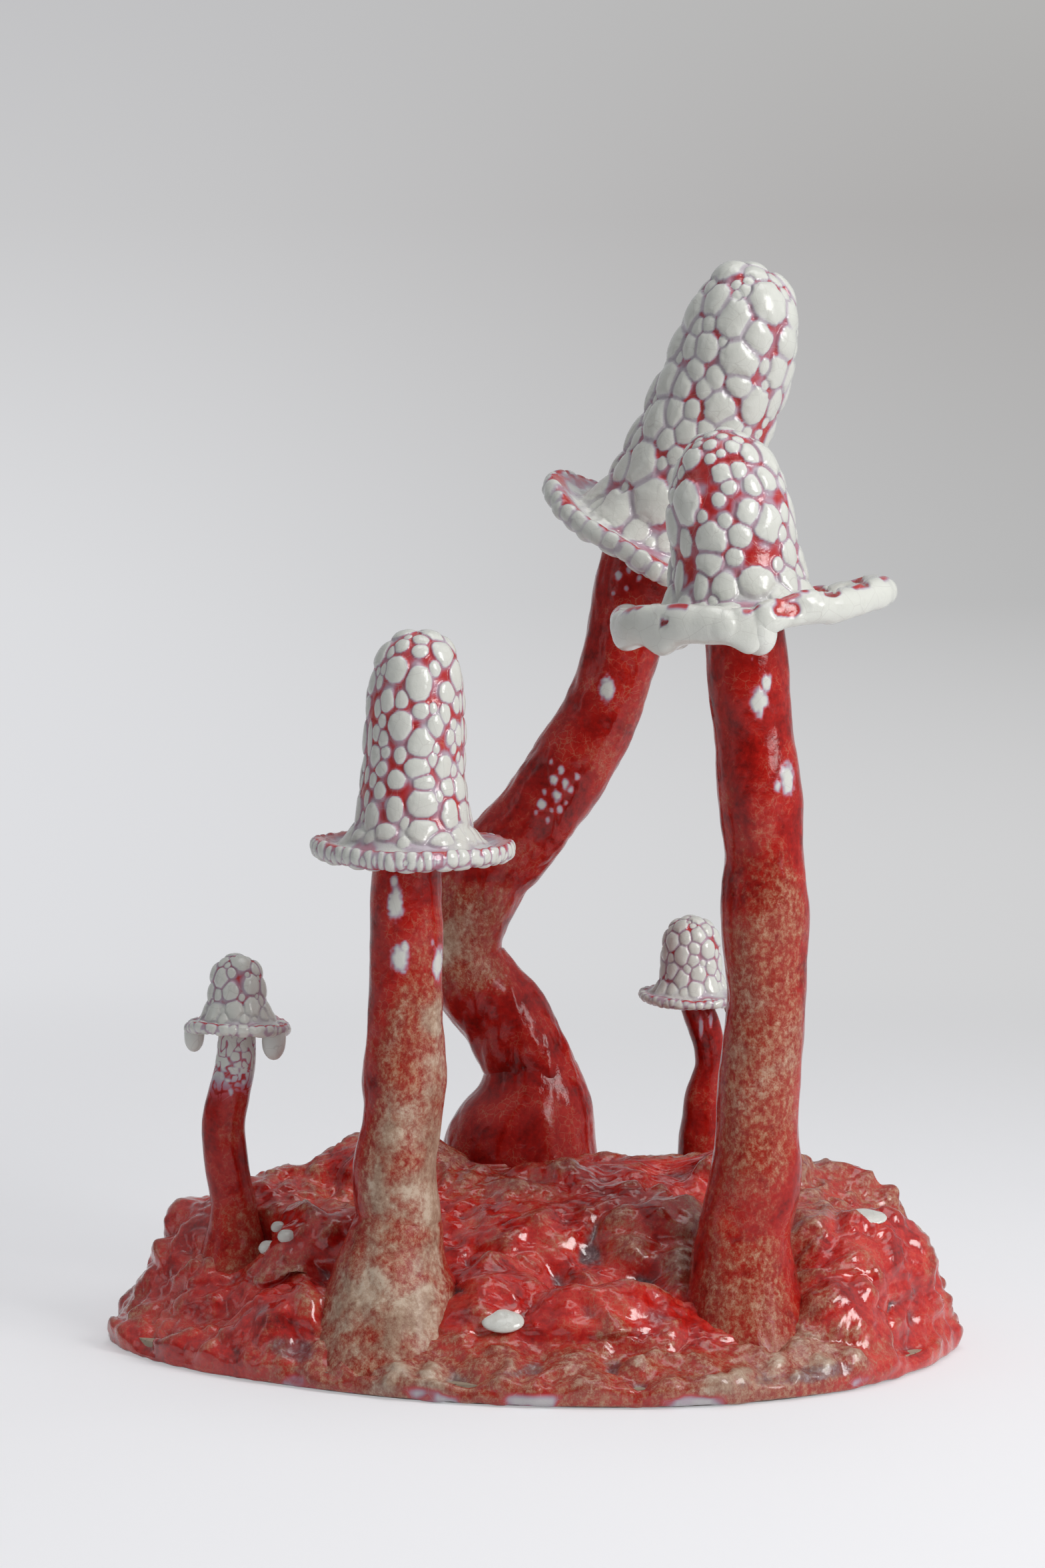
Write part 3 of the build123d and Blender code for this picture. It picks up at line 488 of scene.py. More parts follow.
# Grey pools of glaze: middle, half width and half height
pools = (
    (46, -74, 25, 12, 7), (33, -66, 33, 12, 4), (98, -102, 8.5, 30, 3.6), (-92, -36, 34, 9, 8),
    (-88, -78, 13, 13, 5), (-4, -98, 11, 20, 2.6),
)
normal = outward(mound)
free = eased(up, 0.03, 0.11)[:, None]
press = np.zeros(mound.shape[:2])
for x, y, z, reach, out in presses:
    away = np.sum(((mound - (x, y, z)) / (reach * press_spread)) ** 2, axis=-1)
    press += out * np.exp(-away ** 1.5)
wads = 1 - np.abs(layered(pushed(mound, 24, 7, 5), 34, 11, 2)) * 2.2
folds = np.abs(layered(pushed(mound, 15, 5, 31), 17, 37, 3))
pinches = layered(mound, 9.5, 53, 3)
flow = (wad_height * wads + fold_height * (folds - 0.25) + pinch_height * pinches) * flow_share
lip = 1.1 * np.abs(layered(mound, 12, 71, 3))
moved = free * (press + flow - 0.6) + (1 - free) * lip
mound = mound + normal * moved[..., None]
settled = blurred(moved, 4, 5)
# Where the surface sinks below its smoothed self, and at the foot against the slab, it goes grey: glaze
# gathered in the folds, partly painted shade.
mound_hollow = np.clip((settled - moved - 0.6) / 3.4, 0, 1) * free
mound_hollow = mound_hollow + 0.75 * eased(1 - up[:, None] / 0.045, 0.0, 0.6)
for x, y, z, wide, tall in pools:
    off = np.hypot(np.hypot(mound[..., 0] - x, 0.7 * (mound[..., 1] - y)) / wide, (mound[..., 2] - z) / tall)
    off += 0.9 * layered(mound, 11, 101, 4)
    mound_hollow = np.maximum(mound_hollow, 0.62 * (1 - eased(off, 0.2, 1.3)))
ridges = np.clip((moved - settled) / 2.4, 0, 1)
front_skirt = eased(-mound[..., 1], 60, 100) * eased(26 - mound[..., 2], 0, 12)
mound_buff = 0.36 * eased(layered(mound, 46, 91, 3), 0.05, 0.5) + 0.42 * ridges + 0.38 * front_skirt
front_edge = eased(-mound[..., 1], 60, 90) * eased(7 - mound[..., 2], 0, 4)
runs = layered(mound, 20, 97, 2) + 0.3 * layered(mound, 5, 98, 2)
mound_white = 0.66 * front_edge * eased(runs, -0.05, 0.4)
skin("mound", mound, red_glaze, "red_glaze", "mound_shell", mound_white, mound_buff, mound_hollow)

# Stems: thick coils of clay, rolled and squeezed by hand, stood in the mound and left crooked.
# The glaze on them is thinner, so it breaks to speckled buff down one side, and it carries
# a few flat spots of the white glaze that spattered from the caps.


def tube(y, rows, across, along, lumps_out, seed, level):
    """A grid along a crooked line: rings square to the line through the table's points, or level
    ones, each a circle swelled by noise that is stretched along the stem. A row is height, x and
    radius, or height, x, its own y and radius."""
    line_steps = 400
    rows = np.array([row if len(row) == 4 else (*row[:2], y, row[2]) for row in rows], float)
    height = np.linspace(rows[0, 0], rows[-1, 0], line_steps)
    line = smooth(rows, height)
    centre = np.stack([line[:, 0], line[:, 1], height], axis=-1)
    run = np.concatenate([[0], np.cumsum(np.linalg.norm(np.diff(centre, axis=0), axis=1))])
    at = np.linspace(0, run[-1], along)
    centre = np.stack([np.interp(at, run, centre[:, k]) for k in range(3)], axis=-1)
    radius = np.interp(at, run, line[:, 2])
    ahead = np.gradient(centre, axis=0)
    ahead = np.stack([blurred(ahead[:, None, k], 3, 4)[:, 0] for k in range(3)], axis=-1)
    if level:
        ahead[:] = (0.0, 0.0, 1.0)
    ahead /= np.linalg.norm(ahead, axis=1, keepdims=True)
    side = np.cross((0.0, 1.0, 0.0), ahead)
    side /= np.linalg.norm(side, axis=1, keepdims=True)
    deep = np.cross(ahead, side)
    turn = full_turn(across)
    spokes = np.cos(turn)[:, None] * side[:, None] + np.sin(turn)[:, None] * deep[:, None]
    rough = centre[:, None] + radius[:, None, None] * spokes
    squeezed = pushed(rough * (1, 1, 0.55), 14, 3, seed)
    swell = layered(squeezed, 15, seed + 3, 3) + 0.35 * np.abs(layered(squeezed, 8, seed + 5, 2))
    dents = layered(rough * (1, 1, 0.8), 5.5, seed + 9, 2)
    reach = radius[:, None] + lumps_out * (1.25 * swell + 0.22 * dents)
    return centre[:, None] + reach[..., None] * spokes, turn, swell


def spotted(grid, spots, thick):
    """A grid raised by flat spots of glaze, and how white each point is. A spot is x, z, its half
    width and half height in the front of the grid. Inside it the height is thick times the square
    root of one less the distance cubed, and it is whiter the wider it is, fading past its edge."""
    normal = outward(grid)
    white = np.zeros(grid.shape[:2])
    lift = np.zeros(grid.shape[:2])
    facing = normal[..., 1] < 0.35
    for x, z, wide, tall in spots:
        away = np.hypot((grid[..., 0] - x) / wide, (grid[..., 2] - z) / tall)
        away = np.where(facing, away + 0.26 * noise(grid, 2.6, 7) + 0.20 * noise(grid, 1.1, 8), 9.0)
        lift = np.maximum(lift, thick * min(wide, 2.5) * np.sqrt(np.clip(1 - away ** 3, 0, 1)))
        white = np.maximum(white, min(0.92, 0.20 + 0.40 * wide) * (1 - eased(away, 0.30, 1.65)))
    return grid + normal * lift[..., None], white


def stem(name, seed, size, y, rows, buff_side, lumps_out, spots=(), pale=None, level=False, stands_for=""):
    """One length of stem, shut by a small ring inside each end, which stands for the node of its own
    name or of another. The buff side is rows of height, angle of its middle in degrees, width in
    degrees and strength; pale is the heights between which a milky crawled veil sets in."""
    across, along = size
    grid, turn, swell = tube(y, rows, across, along, lumps_out, seed, level)
    grid, white = spotted(grid, spots, 0.12)
    height = grid[..., 2]
    middle, width, strength = np.moveaxis(smooth(buff_side, height), -1, 0)
    off = np.abs((np.degrees(turn)[None] - middle + 180) % 360 - 180) / width
    patch = layered(pushed(grid, 12, 6, seed + 21), 22, seed + 23, 4)
    buff = strength * (1 - eased(off, 0.45, 1.15)) * (0.78 + 0.75 * patch)
    # Dents in the stem go grey: glaze gathered there, and painted shade.
    hollow = np.clip(-swell * 1.3 - 0.35, 0, 1) * 0.35
    if pale:
        cells = np.abs(noise(pushed(grid, 4, 1.5, seed + 33), 2.4, seed + 31))
        veil = eased(height, *pale) * (0.35 + 0.75 * eased(cells, 0.05, 0.35))
        white = np.clip(np.maximum(white, veil), 0, 1)
    low, high = grid[0].mean(axis=0), grid[-1].mean(axis=0)
    end_share = 0.15
    shut = np.concatenate([
        [low + (grid[0] - low) * end_share], grid, [high + (grid[-1] - high) * end_share],
    ])
    fields = [
        np.concatenate([field[:1], field, field[-1:]]) for field in (white, np.clip(buff, 0, 1), hollow)
    ]
    skin(name, shut, stem_glaze, "red_glaze", stands_for or name, *fields)


stem_reds = ((0.12, 0.003, 0.002), (0.36, 0.008, 0.005), (0.50, 0.030, 0.018))
stem_glaze = glaze("stem_red_glaze", stem_reds, ivory, gloss=0.07, coat=0.05, shine=0.28)

# Tall mushroom's stem, in two lengths that were luted together at an elbow, over a flared foot
stem(
    "tall_stem_low", seed=211, size=(240, 230), y=42, stands_for="tall_lower_stem", lumps_out=1.2,
    rows=(
        (60, 0, 19), (80, 0.2, 19.2), (93, 0, 18.8), (101, -1.6, 17.6), (107, -5, 17.6), (119, -12, 16.8),
        (129.5, -21, 16.6), (138, -26.9, 16.4), (145, -28.9, 15.2),
    ),
    buff_side=((60, 235, 60, 0), (124, 235, 80, 0), (137, 235, 100, 0.7), (150, 235, 100, 1)),
)
stem(
    "tall_stem_high", seed=211, size=(250, 330), y=42, stands_for="tall_upper_stem", lumps_out=1.2,
    rows=(
        (133, -24.6, 15), (139, -27.8, 16), (150, -28.4, 16.2), (158, -25.8, 16.2), (166, -22.2, 16.4),
        (176, -17.2, 16.6), (184, -10.5, 16.6), (191.6, -3.4, 16.5), (199, 2.6, 16.4), (207, 8.3, 16.2),
        (217.6, 15, 16), (228, 21.2, 15.6), (243.6, 29, 14.9), (264, 35.4, 15), (285, 39.6, 15.2),
        (305, 45.4, 42.4, 15),
    ),
    buff_side=(
        (130, 235, 100, 0.5), (142, 235, 100, 0.95), (158, 250, 90, 0.8), (175, 250, 70, 0.4),
        (195, 250, 60, 0.12), (230, 340, 60, 0.3), (306, 340, 50, 0.1),
    ),
    spots=(
        (17, 262, 1.8, 3.4), (28.5, 247.5, 2.6, 4.6), (7, 219, 1, 1.4), (11, 216, 1.2, 1.8),
        (8, 212, 1.6, 2), (12.5, 211, 1.5, 2.4), (4.6, 207.4, 1, 1.4), (9.4, 206, 1.9, 2.2),
        (12.8, 203.2, 0.9, 1.2), (3.4, 202.4, 1.5, 2.1), (7.2, 200.4, 0.8, 1), (17, 213.4, 1, 1.5),
        (10.4, 200.8, 1.1, 1.5), (1.2, 199.4, 0.9, 1.3), (14.6, 208.2, 1.2, 1.6), (5.8, 196.6, 1, 1.4),
        (24, 292, 1.2, 2.2), (33, 291, 1.2, 1.8), (37, 293, 1, 1.4), (41, 290, 1.2, 1.6),
        (36, 286, 0.9, 1.2), (31, 284, 0.8, 1),
    ),
)
stem(
    "tall_foot", seed=223, size=(270, 150), y=42, lumps_out=0.9, level=True,
    rows=(
        (52, -5, 31), (58, -5.2, 30.6), (64, -5.2, 30), (70, -5.2, 29.2), (77, -4.3, 27.8), (84, -2.3, 25.1),
        (91, -0.2, 21.2), (96, -0.4, 19), (100.5, -1, 17.2), (105, -3.6, 15.2),
    ),
    buff_side=((50, 0, 60, 0), (99, 0, 60, 0)),
)

# Front right stem, the tallest straight one, with its foot
stem(
    "front_right_stem", seed=241, size=(240, 345), y=-64, lumps_out=0.8,
    rows=(
        (20, 76.6, 16.5), (40, 76.4, 16.8), (49.6, 76.6, 17), (59.5, 78.1, 17), (69, 80.4, 16.8),
        (79, 81.6, 16.2), (89, 81.6, 15), (108.6, 82.2, 14.8), (118, 82.9, 14.6), (138, 84.3, 14.4),
        (162, 84.1, 15.4), (172, 84.2, 16), (181, 83.9, 15.4), (191.5, 83.6, 14.4), (211, 82.2, 15.2),
        (223, 81.1, 15), (235, 79.6, 14), (252, 77.4, 14.7), (264, 76.8, 14.2), (281, 75.5, 13.6),
    ),
    buff_side=(
        (20, 235, 70, 0.35), (60, 245, 70, 0.3), (90, 262, 80, 0.52), (130, 275, 80, 0.8),
        (160, 275, 80, 0.72), (180, 268, 70, 0.45), (205, 255, 60, 0.22), (282, 250, 60, 0.05),
    ),
    spots=(
        (80.5, 247.5, 3, 5), (83.2, 254, 1.9, 3.4), (91, 219.5, 2.6, 5.2), (87.5, 217, 1.4, 2.2),
        (78, 262.5, 0.6, 0.6),
    ),
)
stem(
    "front_right_foot", seed=241, size=(250, 140), y=-64, lumps_out=1.1,
    rows=(
        (4, 76.8, 29.5), (12, 76.8, 27), (20, 76.8, 23.8), (30, 76.5, 21.2), (39.8, 76.2, 19.2),
        (49.6, 76.4, 17.8), (58, 77.4, 16.9), (64, 79, 15.8),
    ),
    buff_side=((4, 250, 90, 0.35), (30, 262, 70, 0.55), (65, 255, 70, 0.32)),
)

# Front left stem, short and stout, with most of its buff breaking down its right side
stem(
    "front_left_stem", seed=263, size=(230, 320), y=-62, lumps_out=0.8,
    rows=(
        (10, -51.5, 17), (40, -51.4, 16.2), (52, -49.6, 15.4), (59, -48.9, 15.2), (67.7, -50.4, 15.3),
        (76, -50.9, 15.2), (88.6, -48.9, 14.2), (98, -47.7, 14), (108, -47.2, 14.7), (113, -47, 14.5),
        (133, -46.3, 13.5), (142, -46.2, 13.2), (162, -46.2, 13), (184, -46, 12.6), (196, -44.6, 12.2),
    ),
    buff_side=(
        (10, 290, 80, 0.8), (50, 300, 90, 1), (90, 300, 85, 1.1), (120, 292, 75, 1.1), (145, 305, 55, 0.65),
        (165, 320, 40, 0.25), (196, 320, 40, 0.05),
    ),
    spots=(
        (-49.5, 175, 2.6, 6.2), (-50, 182.5, 1.5, 2.6), (-48, 154.5, 3, 4.6), (-46.5, 158.8, 1.6, 2.2),
        (-34.6, 152, 1.6, 6), (-36.5, 160, 0.7, 1.4),
    ),
)
stem(
    "front_left_foot", seed=263, size=(270, 140), y=-62, lumps_out=1.2,
    rows=(
        (3, -53, -64, 33), (10, -52.6, -64, 30.5), (20, -52.2, -63, 26.8), (30, -51.6, 24.6),
        (39, -51.4, 21.2), (49, -50.2, 17.8), (56, -49.2, 15.9), (61, -49, 14.4),
    ),
    buff_side=(
        (3, 255, 90, 0.35), (16, 262, 85, 0.85), (30, 266, 85, 1.2), (48, 278, 85, 1.1), (62, 290, 80, 1),
    ),
)

# Small stems at the left end, crawled white under its cap, and at the back
small_left_spots = [
    (6 * math.sin(k * 2.4) - 113.5, 98 + k * 1.15, 1 + 0.5 * math.sin(k * 5.1), 1.3 + 0.6 * math.cos(k * 3.7))
    for k in range(16)
]
stem(
    "small_left_stem", seed=281, size=(150, 220), y=-15, lumps_out=0.55, pale=(88, 116),
    rows=(
        (30, -113, 14.5), (38, -113, 12.2), (45.6, -112.9, 10), (55.8, -113.3, 8.4), (61, -114.4, 8),
        (71, -116, 8), (86.3, -116.8, 7.7), (96.4, -114.8, 7.7), (106.6, -112.6, 7.2), (114, -111.8, 6.8),
        (124, -111.5, 6.4),
    ),
    buff_side=((30, 300, 60, 0.35), (124, 300, 60, 0.1)),
    spots=small_left_spots,
)
stem(
    "small_back_stem", seed=293, size=(140, 200), y=60, lumps_out=0.5,
    rows=(
        (50, 68, 12), (58, 67.9, 10.3), (69, 67.9, 9.7), (74, 68, 8.9), (85, 68.2, 7.4), (90, 69.3, 6.5),
        (95, 70.6, 6), (101, 70.6, 6), (111.6, 68.3, 6.5), (119.6, 65.2, 6.3), (126, 63, 6),
    ),
    buff_side=((50, 250, 60, 0.2), (126, 250, 60, 0.1)),
    spots=((66.5, 112, 0.9, 4.5), (70.5, 115, 0.8, 3)),
)

# Caps: thimbles of clay pinched thin over a thumb and set on the stems. They were dipped in red,
# then in a thick white glaze that crawled in the fire: it drew up into fat beads and left the red
# bare in the creases, and it ran down each bell and pooled on the brim.


def revolved(profile, along, turns):
    """A grid from a profile of radius and height, carried once round the upright axis: the profile
    is read at even steps of its own length."""
    profile = np.asarray(profile, float)
    run = np.concatenate([[0], np.cumsum(np.linalg.norm(np.diff(profile, axis=0), axis=1))])
    radius, height = smooth(np.column_stack([run, profile]), np.linspace(0, run[-1], along)).T
    return np.stack([
        radius[:, None] * np.cos(turns), radius[:, None] * np.sin(turns),
        np.repeat(height[:, None], len(turns), axis=1),
    ], axis=-1)


def scattered(grid, normal, zones, placed, bare, seed):
    """Middles, radii and stretches of the beads: first those listed, then, from the largest
    size to the smallest, each random point of the grid that clears those already there. A zone is
    its lowest and highest height, inner and outer radius, smallest and largest bead, and stretch.
    A bare place is an ellipse in the front: x, z, half width and half height."""
    sizes_tried, draws, nearest = 10, 420, 0.84
    rng = np.random.default_rng(seed)
    points = grid.reshape(-1, 3)
    middles, radii, stretches = [], [], []
    for x, z, radius, stretch in placed:
        near = np.hypot(grid[..., 0] - x, grid[..., 2] - z) + np.where(normal[..., 1] < 0.1, 0, 99)
        middles.append(points[np.argmin(near)])
        radii.append(radius)
        stretches.append(stretch)
    step = np.linalg.norm(np.roll(grid, -1, axis=1) - grid, axis=-1)
    step = step * np.linalg.norm(np.gradient(grid, axis=0), axis=-1)
    for low, high, inner, outer, least, most, stretch in zones:
        far = np.hypot(points[:, 0], points[:, 1])
        inside = (points[:, 2] >= low) & (points[:, 2] < high) & (far >= inner) & (far < outer)
        for x, z, wide, tall in bare:
            front = points[:, 1] < 0
            inside &= ~(front & (np.hypot((points[:, 0] - x) / wide, (points[:, 2] - z) / tall) < 1))
        weight = np.where(inside, step.ravel(), 0)
        if weight.sum() == 0:
            continue
        for radius in np.linspace(most, least, sizes_tried):
            for pick in rng.choice(len(points), draws, p=weight / weight.sum()):
                size = radius * rng.uniform(0.92, 1.08)
                if middles:
                    gap = np.array(middles) - points[pick]
                    gap[:, 2] /= np.maximum(np.array(stretches), stretch)
                    if np.any(np.linalg.norm(gap, axis=1) < nearest * (np.array(radii) + size)):
                        continue
                middles.append(points[pick])
                radii.append(size)
                stretches.append(stretch)
    return np.array(middles), np.array(radii), np.array(stretches)


def beaded(grid, beads, part, spread, fused):
    """How far the beads lift the grid, and how white each point is. Each point takes the nearest
    bead by distance over radius, q. Near the next bead q is raised, no further than part and a noise
    allow, so that a crease parts them. The lift is the bead's thickness times (1 - q^2.3)^0.58. The
    white fades at q near one, keeps the share fused in a crease, and thins to milk past the beads."""
    points = grid.reshape(-1, 3)
    far_off, sharpness = 9.0, 0.60
    first = np.full(len(points), far_off)
    second = np.full(len(points), far_off)
    peak = np.ones(len(points))
    ripple = 0.07 * noise(points, 3.1, 401) + 0.05 * noise(points, 1.4, 402)
    for x, y, z, radius, stretch, thick in beads:
        gap = points - (x, y, z)
        q = np.sqrt(gap[:, 0] ** 2 + gap[:, 1] ** 2 + (gap[:, 2] / stretch) ** 2) / (radius * spread) + ripple
        nearer = q < first
        second = np.where(nearer, first, np.minimum(second, q))
        peak = np.where(nearer, radius * thick, peak)
        first = np.where(nearer, q, first)
    crease = 1 - sharpness * (second - first)
    open_to = part + 0.11 * noise(points, 9, 405)
    reach = np.maximum(first, np.minimum(crease, open_to + 0.36 * first))
    lift = peak * np.clip(1 - np.clip(reach, 0, 1) ** 2.3, 0, 1) ** 0.58
    white = 1 - eased(reach, 0.72, 1.08)
    white = np.maximum(white, fused * (1 - eased(first, 0.86, 1.04)))
    milk = 0.46 * (1 - eased(first, 1.0, 1.75)) * (0.75 + 0.6 * noise(points, 4.5, 403))
    white = np.maximum(white, milk)
    return lift.reshape(grid.shape[:2]), white.reshape(grid.shape[:2])


def pinched(profile, outline, waves, size, drips, seed):
    """A cap's clay, with the middle of the brim at zero: the revolved profile, its brim pulled to an
    uneven outline and waved up and down, and all swelled by a broad noise. A drip is an angle, its
    width in degrees and how far it pulls the rim down, mostly from below."""
    across, along = size
    turns = full_turn(across)
    grid = revolved(profile, along, turns)
    rim = max(radius for radius, _ in profile)
    out = eased(np.hypot(grid[..., 0], grid[..., 1]), rim * 0.55, rim)
    grid[..., :2] *= (1 + out * (around(outline, turns) - 1))[..., None]
    grid[..., 2] += out * around(waves, turns)
    topside = eased(-np.gradient(np.hypot(grid[..., 0], grid[..., 1]), axis=0), -0.2, 0.4)
    for angle, wide, pull in drips:
        off = (np.degrees(turns) - angle + 180) % 360 - 180
        grid[..., 2] -= out ** 2 * (1 - 0.85 * topside) * pull * np.exp(-(off / wide) ** 2)
    grid += outward(grid) * (0.55 * layered(grid, 14, seed + 1, 2))[..., None]
    return grid, rim, turns


def hem(rim, outline, waves, rim_beads, seed):
    """A row of beads round a rim: their number, radius, stretch, how far they hang below the middle
    of the brim, and thickness. Their places and sizes are a little uneven."""
    count, radius, stretch, drop, thick = rim_beads
    rng = np.random.default_rng(seed + 7)
    angles = (np.arange(count) + rng.uniform(-0.25, 0.25, count)) * 2 * np.pi / count
    ring = rim * around(outline, angles)
    return np.column_stack([
        ring * np.cos(angles), ring * np.sin(angles), around(waves, angles) - drop,
        radius * rng.uniform(0.8, 1.2, count), np.full(count, stretch), np.full(count, thick),
    ])


def upright(lean_right, lean_front):
    """The turn that leans a cap right, then towards the front, in degrees."""
    a, b = math.radians(lean_right), math.radians(lean_front)
    turn_x = np.array([[1, 0, 0], [0, math.cos(b), -math.sin(b)], [0, math.sin(b), math.cos(b)]])
    turn_y = np.array([[math.cos(a), 0, math.sin(a)], [0, 1, 0], [-math.sin(a), 0, math.cos(a)]])
    return turn_x @ turn_y


def cap(name, seat, lean, bend, size, thick, seed, profile, outline, waves, zones, placed=(), bare=(),
        rim_beads=(), rim_roll=0, drips=(), rubbed=(), part=0.73, spread=1.15, fused=0.50):
    """One cap: its clay is beaded, then bent sideways by the square of the height, leaned and set on
    its seat. White lies flat on the brim and breaks along its very edge, where there is a hem of
    beads or a smooth roll as thick as rim_roll. A rubbed place is an ellipse in the front, x, z,
    half width and half height, where the glaze broke to bare red."""
    grid, rim, turns = pinched(profile, outline, waves, size, drips, seed)
    normal = outward(grid)
    middles, radii, stretches = scattered(grid, normal, zones, placed, bare, seed)
    beads = np.column_stack([middles, radii, stretches, np.full(len(radii), thick)])
    if rim_beads:
        beads = np.vstack([beads, hem(rim, outline, waves, rim_beads, seed)])
    lift, white = beaded(grid, beads, part, spread, fused)
    far = np.hypot(grid[..., 0], grid[..., 1])
    bell = profile[-5][0]
    flat = eased(far, bell, bell * 1.25) * (1 - eased(far, rim * 0.80, rim * 0.93)) * (normal[..., 2] > 0.25)
    flat = blurred(flat, 2, 3)
    thin = eased(layered(grid, 8, seed + 17, 2), -0.1, 0.35)
    milk = 0.72 + 0.25 * layered(grid, 9, seed + 11, 3)
    white = np.maximum(white, flat * milk * (1 - 0.35 * thin))
    reached = far / (rim * around(outline, turns))
    if rim_roll:
        roll = np.sqrt(np.clip(1 - ((reached - 0.95) / 0.17) ** 2, 0, 1))
        lift = np.maximum(lift, rim_roll * roll * (0.9 + 1.1 * layered(grid, 17, seed + 5, 2)))
        white = np.maximum(white, eased(roll, 0.15, 0.6))
    brink = np.exp(-((reached - 0.955) / 0.022) ** 2) * (normal[..., 2] > 0.15)
    white *= 1 - 0.9 * brink * eased(layered(grid, 6, seed + 19, 2), -0.25, 0.2)
    for x, z, wide, tall in rubbed:
        off = np.hypot((grid[..., 0] - x) / wide, (grid[..., 2] - z) / tall) + 0.3 * noise(grid, 3, seed + 13)
        patch = np.where(normal[..., 1] < 0.2, 1 - eased(off, 0.6, 1.2), 0)
        white *= 1 - patch
        lift *= 1 - 0.8 * patch
    # Creases below the smoothed bead lift go grey as painted shade, and thin glaze on the flat brim goes grey
    # as glaze gathered there.
    inner = np.clip(blurred(lift, 3, 4) - lift, 0, 1) * 0.6 + flat * thin * 0.9
    grid = grid + normal * lift[..., None]
    height = grid[..., 2]
    grid[..., 0] += height * np.abs(height) * bend * 1e-3
    grid = grid @ upright(*lean).T + np.array(seat)
    skin(name, grid, crawled_glaze, "white_crawl_glaze", name, white=white, hollow=np.clip(inner, 0, 0.55))


bead_reds = ((0.20, 0.006, 0.007), (0.44, 0.018, 0.016), (0.56, 0.08, 0.06))
crawled_glaze = glaze("white_crawl_glaze", bead_reds, ivory, gloss=0.05)

# Front right cap: a domed bell over a wide brim whose puffed edge hangs in lobes
cap(
    "front_right_cap", seat=(74.5, -64, 279), lean=(-5, 0), bend=-0.4, size=(380, 250), thick=0.38, seed=331,
    rim_roll=1.725,
    profile=(
        (0.6, -3), (14, -3.4), (28, -3.2), (40, -3.4), (46, -4.4), (49.4, -2.8), (50.2, 0.2), (48.4, 3),
        (44, 3.6), (37, 2.4), (30, 1.8), (26.8, 4), (24.6, 8.4), (22.6, 15), (21.8, 24), (21.6, 33),
        (20.6, 42), (18, 50), (14.6, 57), (10.2, 62), (5, 64.6), (0.6, 65.4),
    ),
    outline=(
        (0, 1.1), (28, 0.92), (60, 0.78), (90, 0.76), (120, 0.8), (152, 0.88), (180, 0.91), (206, 0.92),
        (236, 0.86), (270, 0.86), (300, 0.82), (332, 0.93),
    ),
    waves=(
        (0, 3.6), (30, 1.5), (60, 0), (90, 1), (130, -0.5), (170, 0.5), (200, -0.6), (225, 0.8), (250, -1.2),
        (272, -1.5), (295, 0.8), (325, 0.5),
    ),
    zones=((4, 70, 0, 40, 2.2, 6.5, 1.1), (-6, 6, 30, 60, 2.4, 6, 1)),
    placed=(
        (-16.3, 40.5, 6.6, 1.25), (-12, 56.1, 4.4, 1), (-8.7, 26.8, 5.9, 1.05), (11.6, 31.4, 6, 1.1),
        (5.5, 35.3, 4.8, 1), (1.2, 27.7, 4.3, 1), (-1.6, 20.2, 3.2, 1), (8.8, 56.1, 4.2, 1),
        (13.2, 46.6, 4.4, 1.1), (7.9, 44.8, 3.4, 1.2), (-2.5, 50, 3.6, 1), (3.6, 50.4, 3.1, 1),
        (-0.7, 44.7, 2.8, 1), (-4.6, 41, 2.6, 1), (-5.6, 55.6, 2.2, 1), (3.1, 58.9, 2.9, 1),
        (-8.2, 62.7, 1.8, 1), (-4.4, 65.2, 2.6, 1), (-0.2, 63.1, 2, 1), (-4.9, 60.4, 2.6, 1),
        (-1.6, 57, 1.8, 1), (6.9, 63.1, 3, 1), (21, 36.2, 4, 1.7), (20.6, 28.6, 3.6, 1.7),
        (5.5, 10.6, 6.4, 0.8), (17.3, 10.2, 4.6, 1.2), (-17.7, 26.8, 3.6, 1.6), (-10.1, 19.2, 5, 1),
        (-20, 54.2, 4, 1.5), (-14, 10, 3, 2.2), (-6, 9.5, 4.4, 1.4), (-21, 14, 3.4, 2),
    ),
    bare=(
        (-10.5, 47, 6.5, 8.5), (-3, 39, 8, 5.5), (8, 40, 9, 4), (8, 21, 9, 4), (-16, 17, 4, 9),
        (16.5, 38.5, 4, 4),
    ),
    drips=((224, 7, 5.5), (270, 8, 6), (196, 12, 3), (245, 50, 3)),
    rubbed=(
        (14, 0, 5, 2.8), (31, 3.6, 3, 1.3), (44, 6.6, 2, 2.4), (49, 8.6, 1.6, 1.2), (-28, -0.5, 1.6, 1.2),
    ),
)

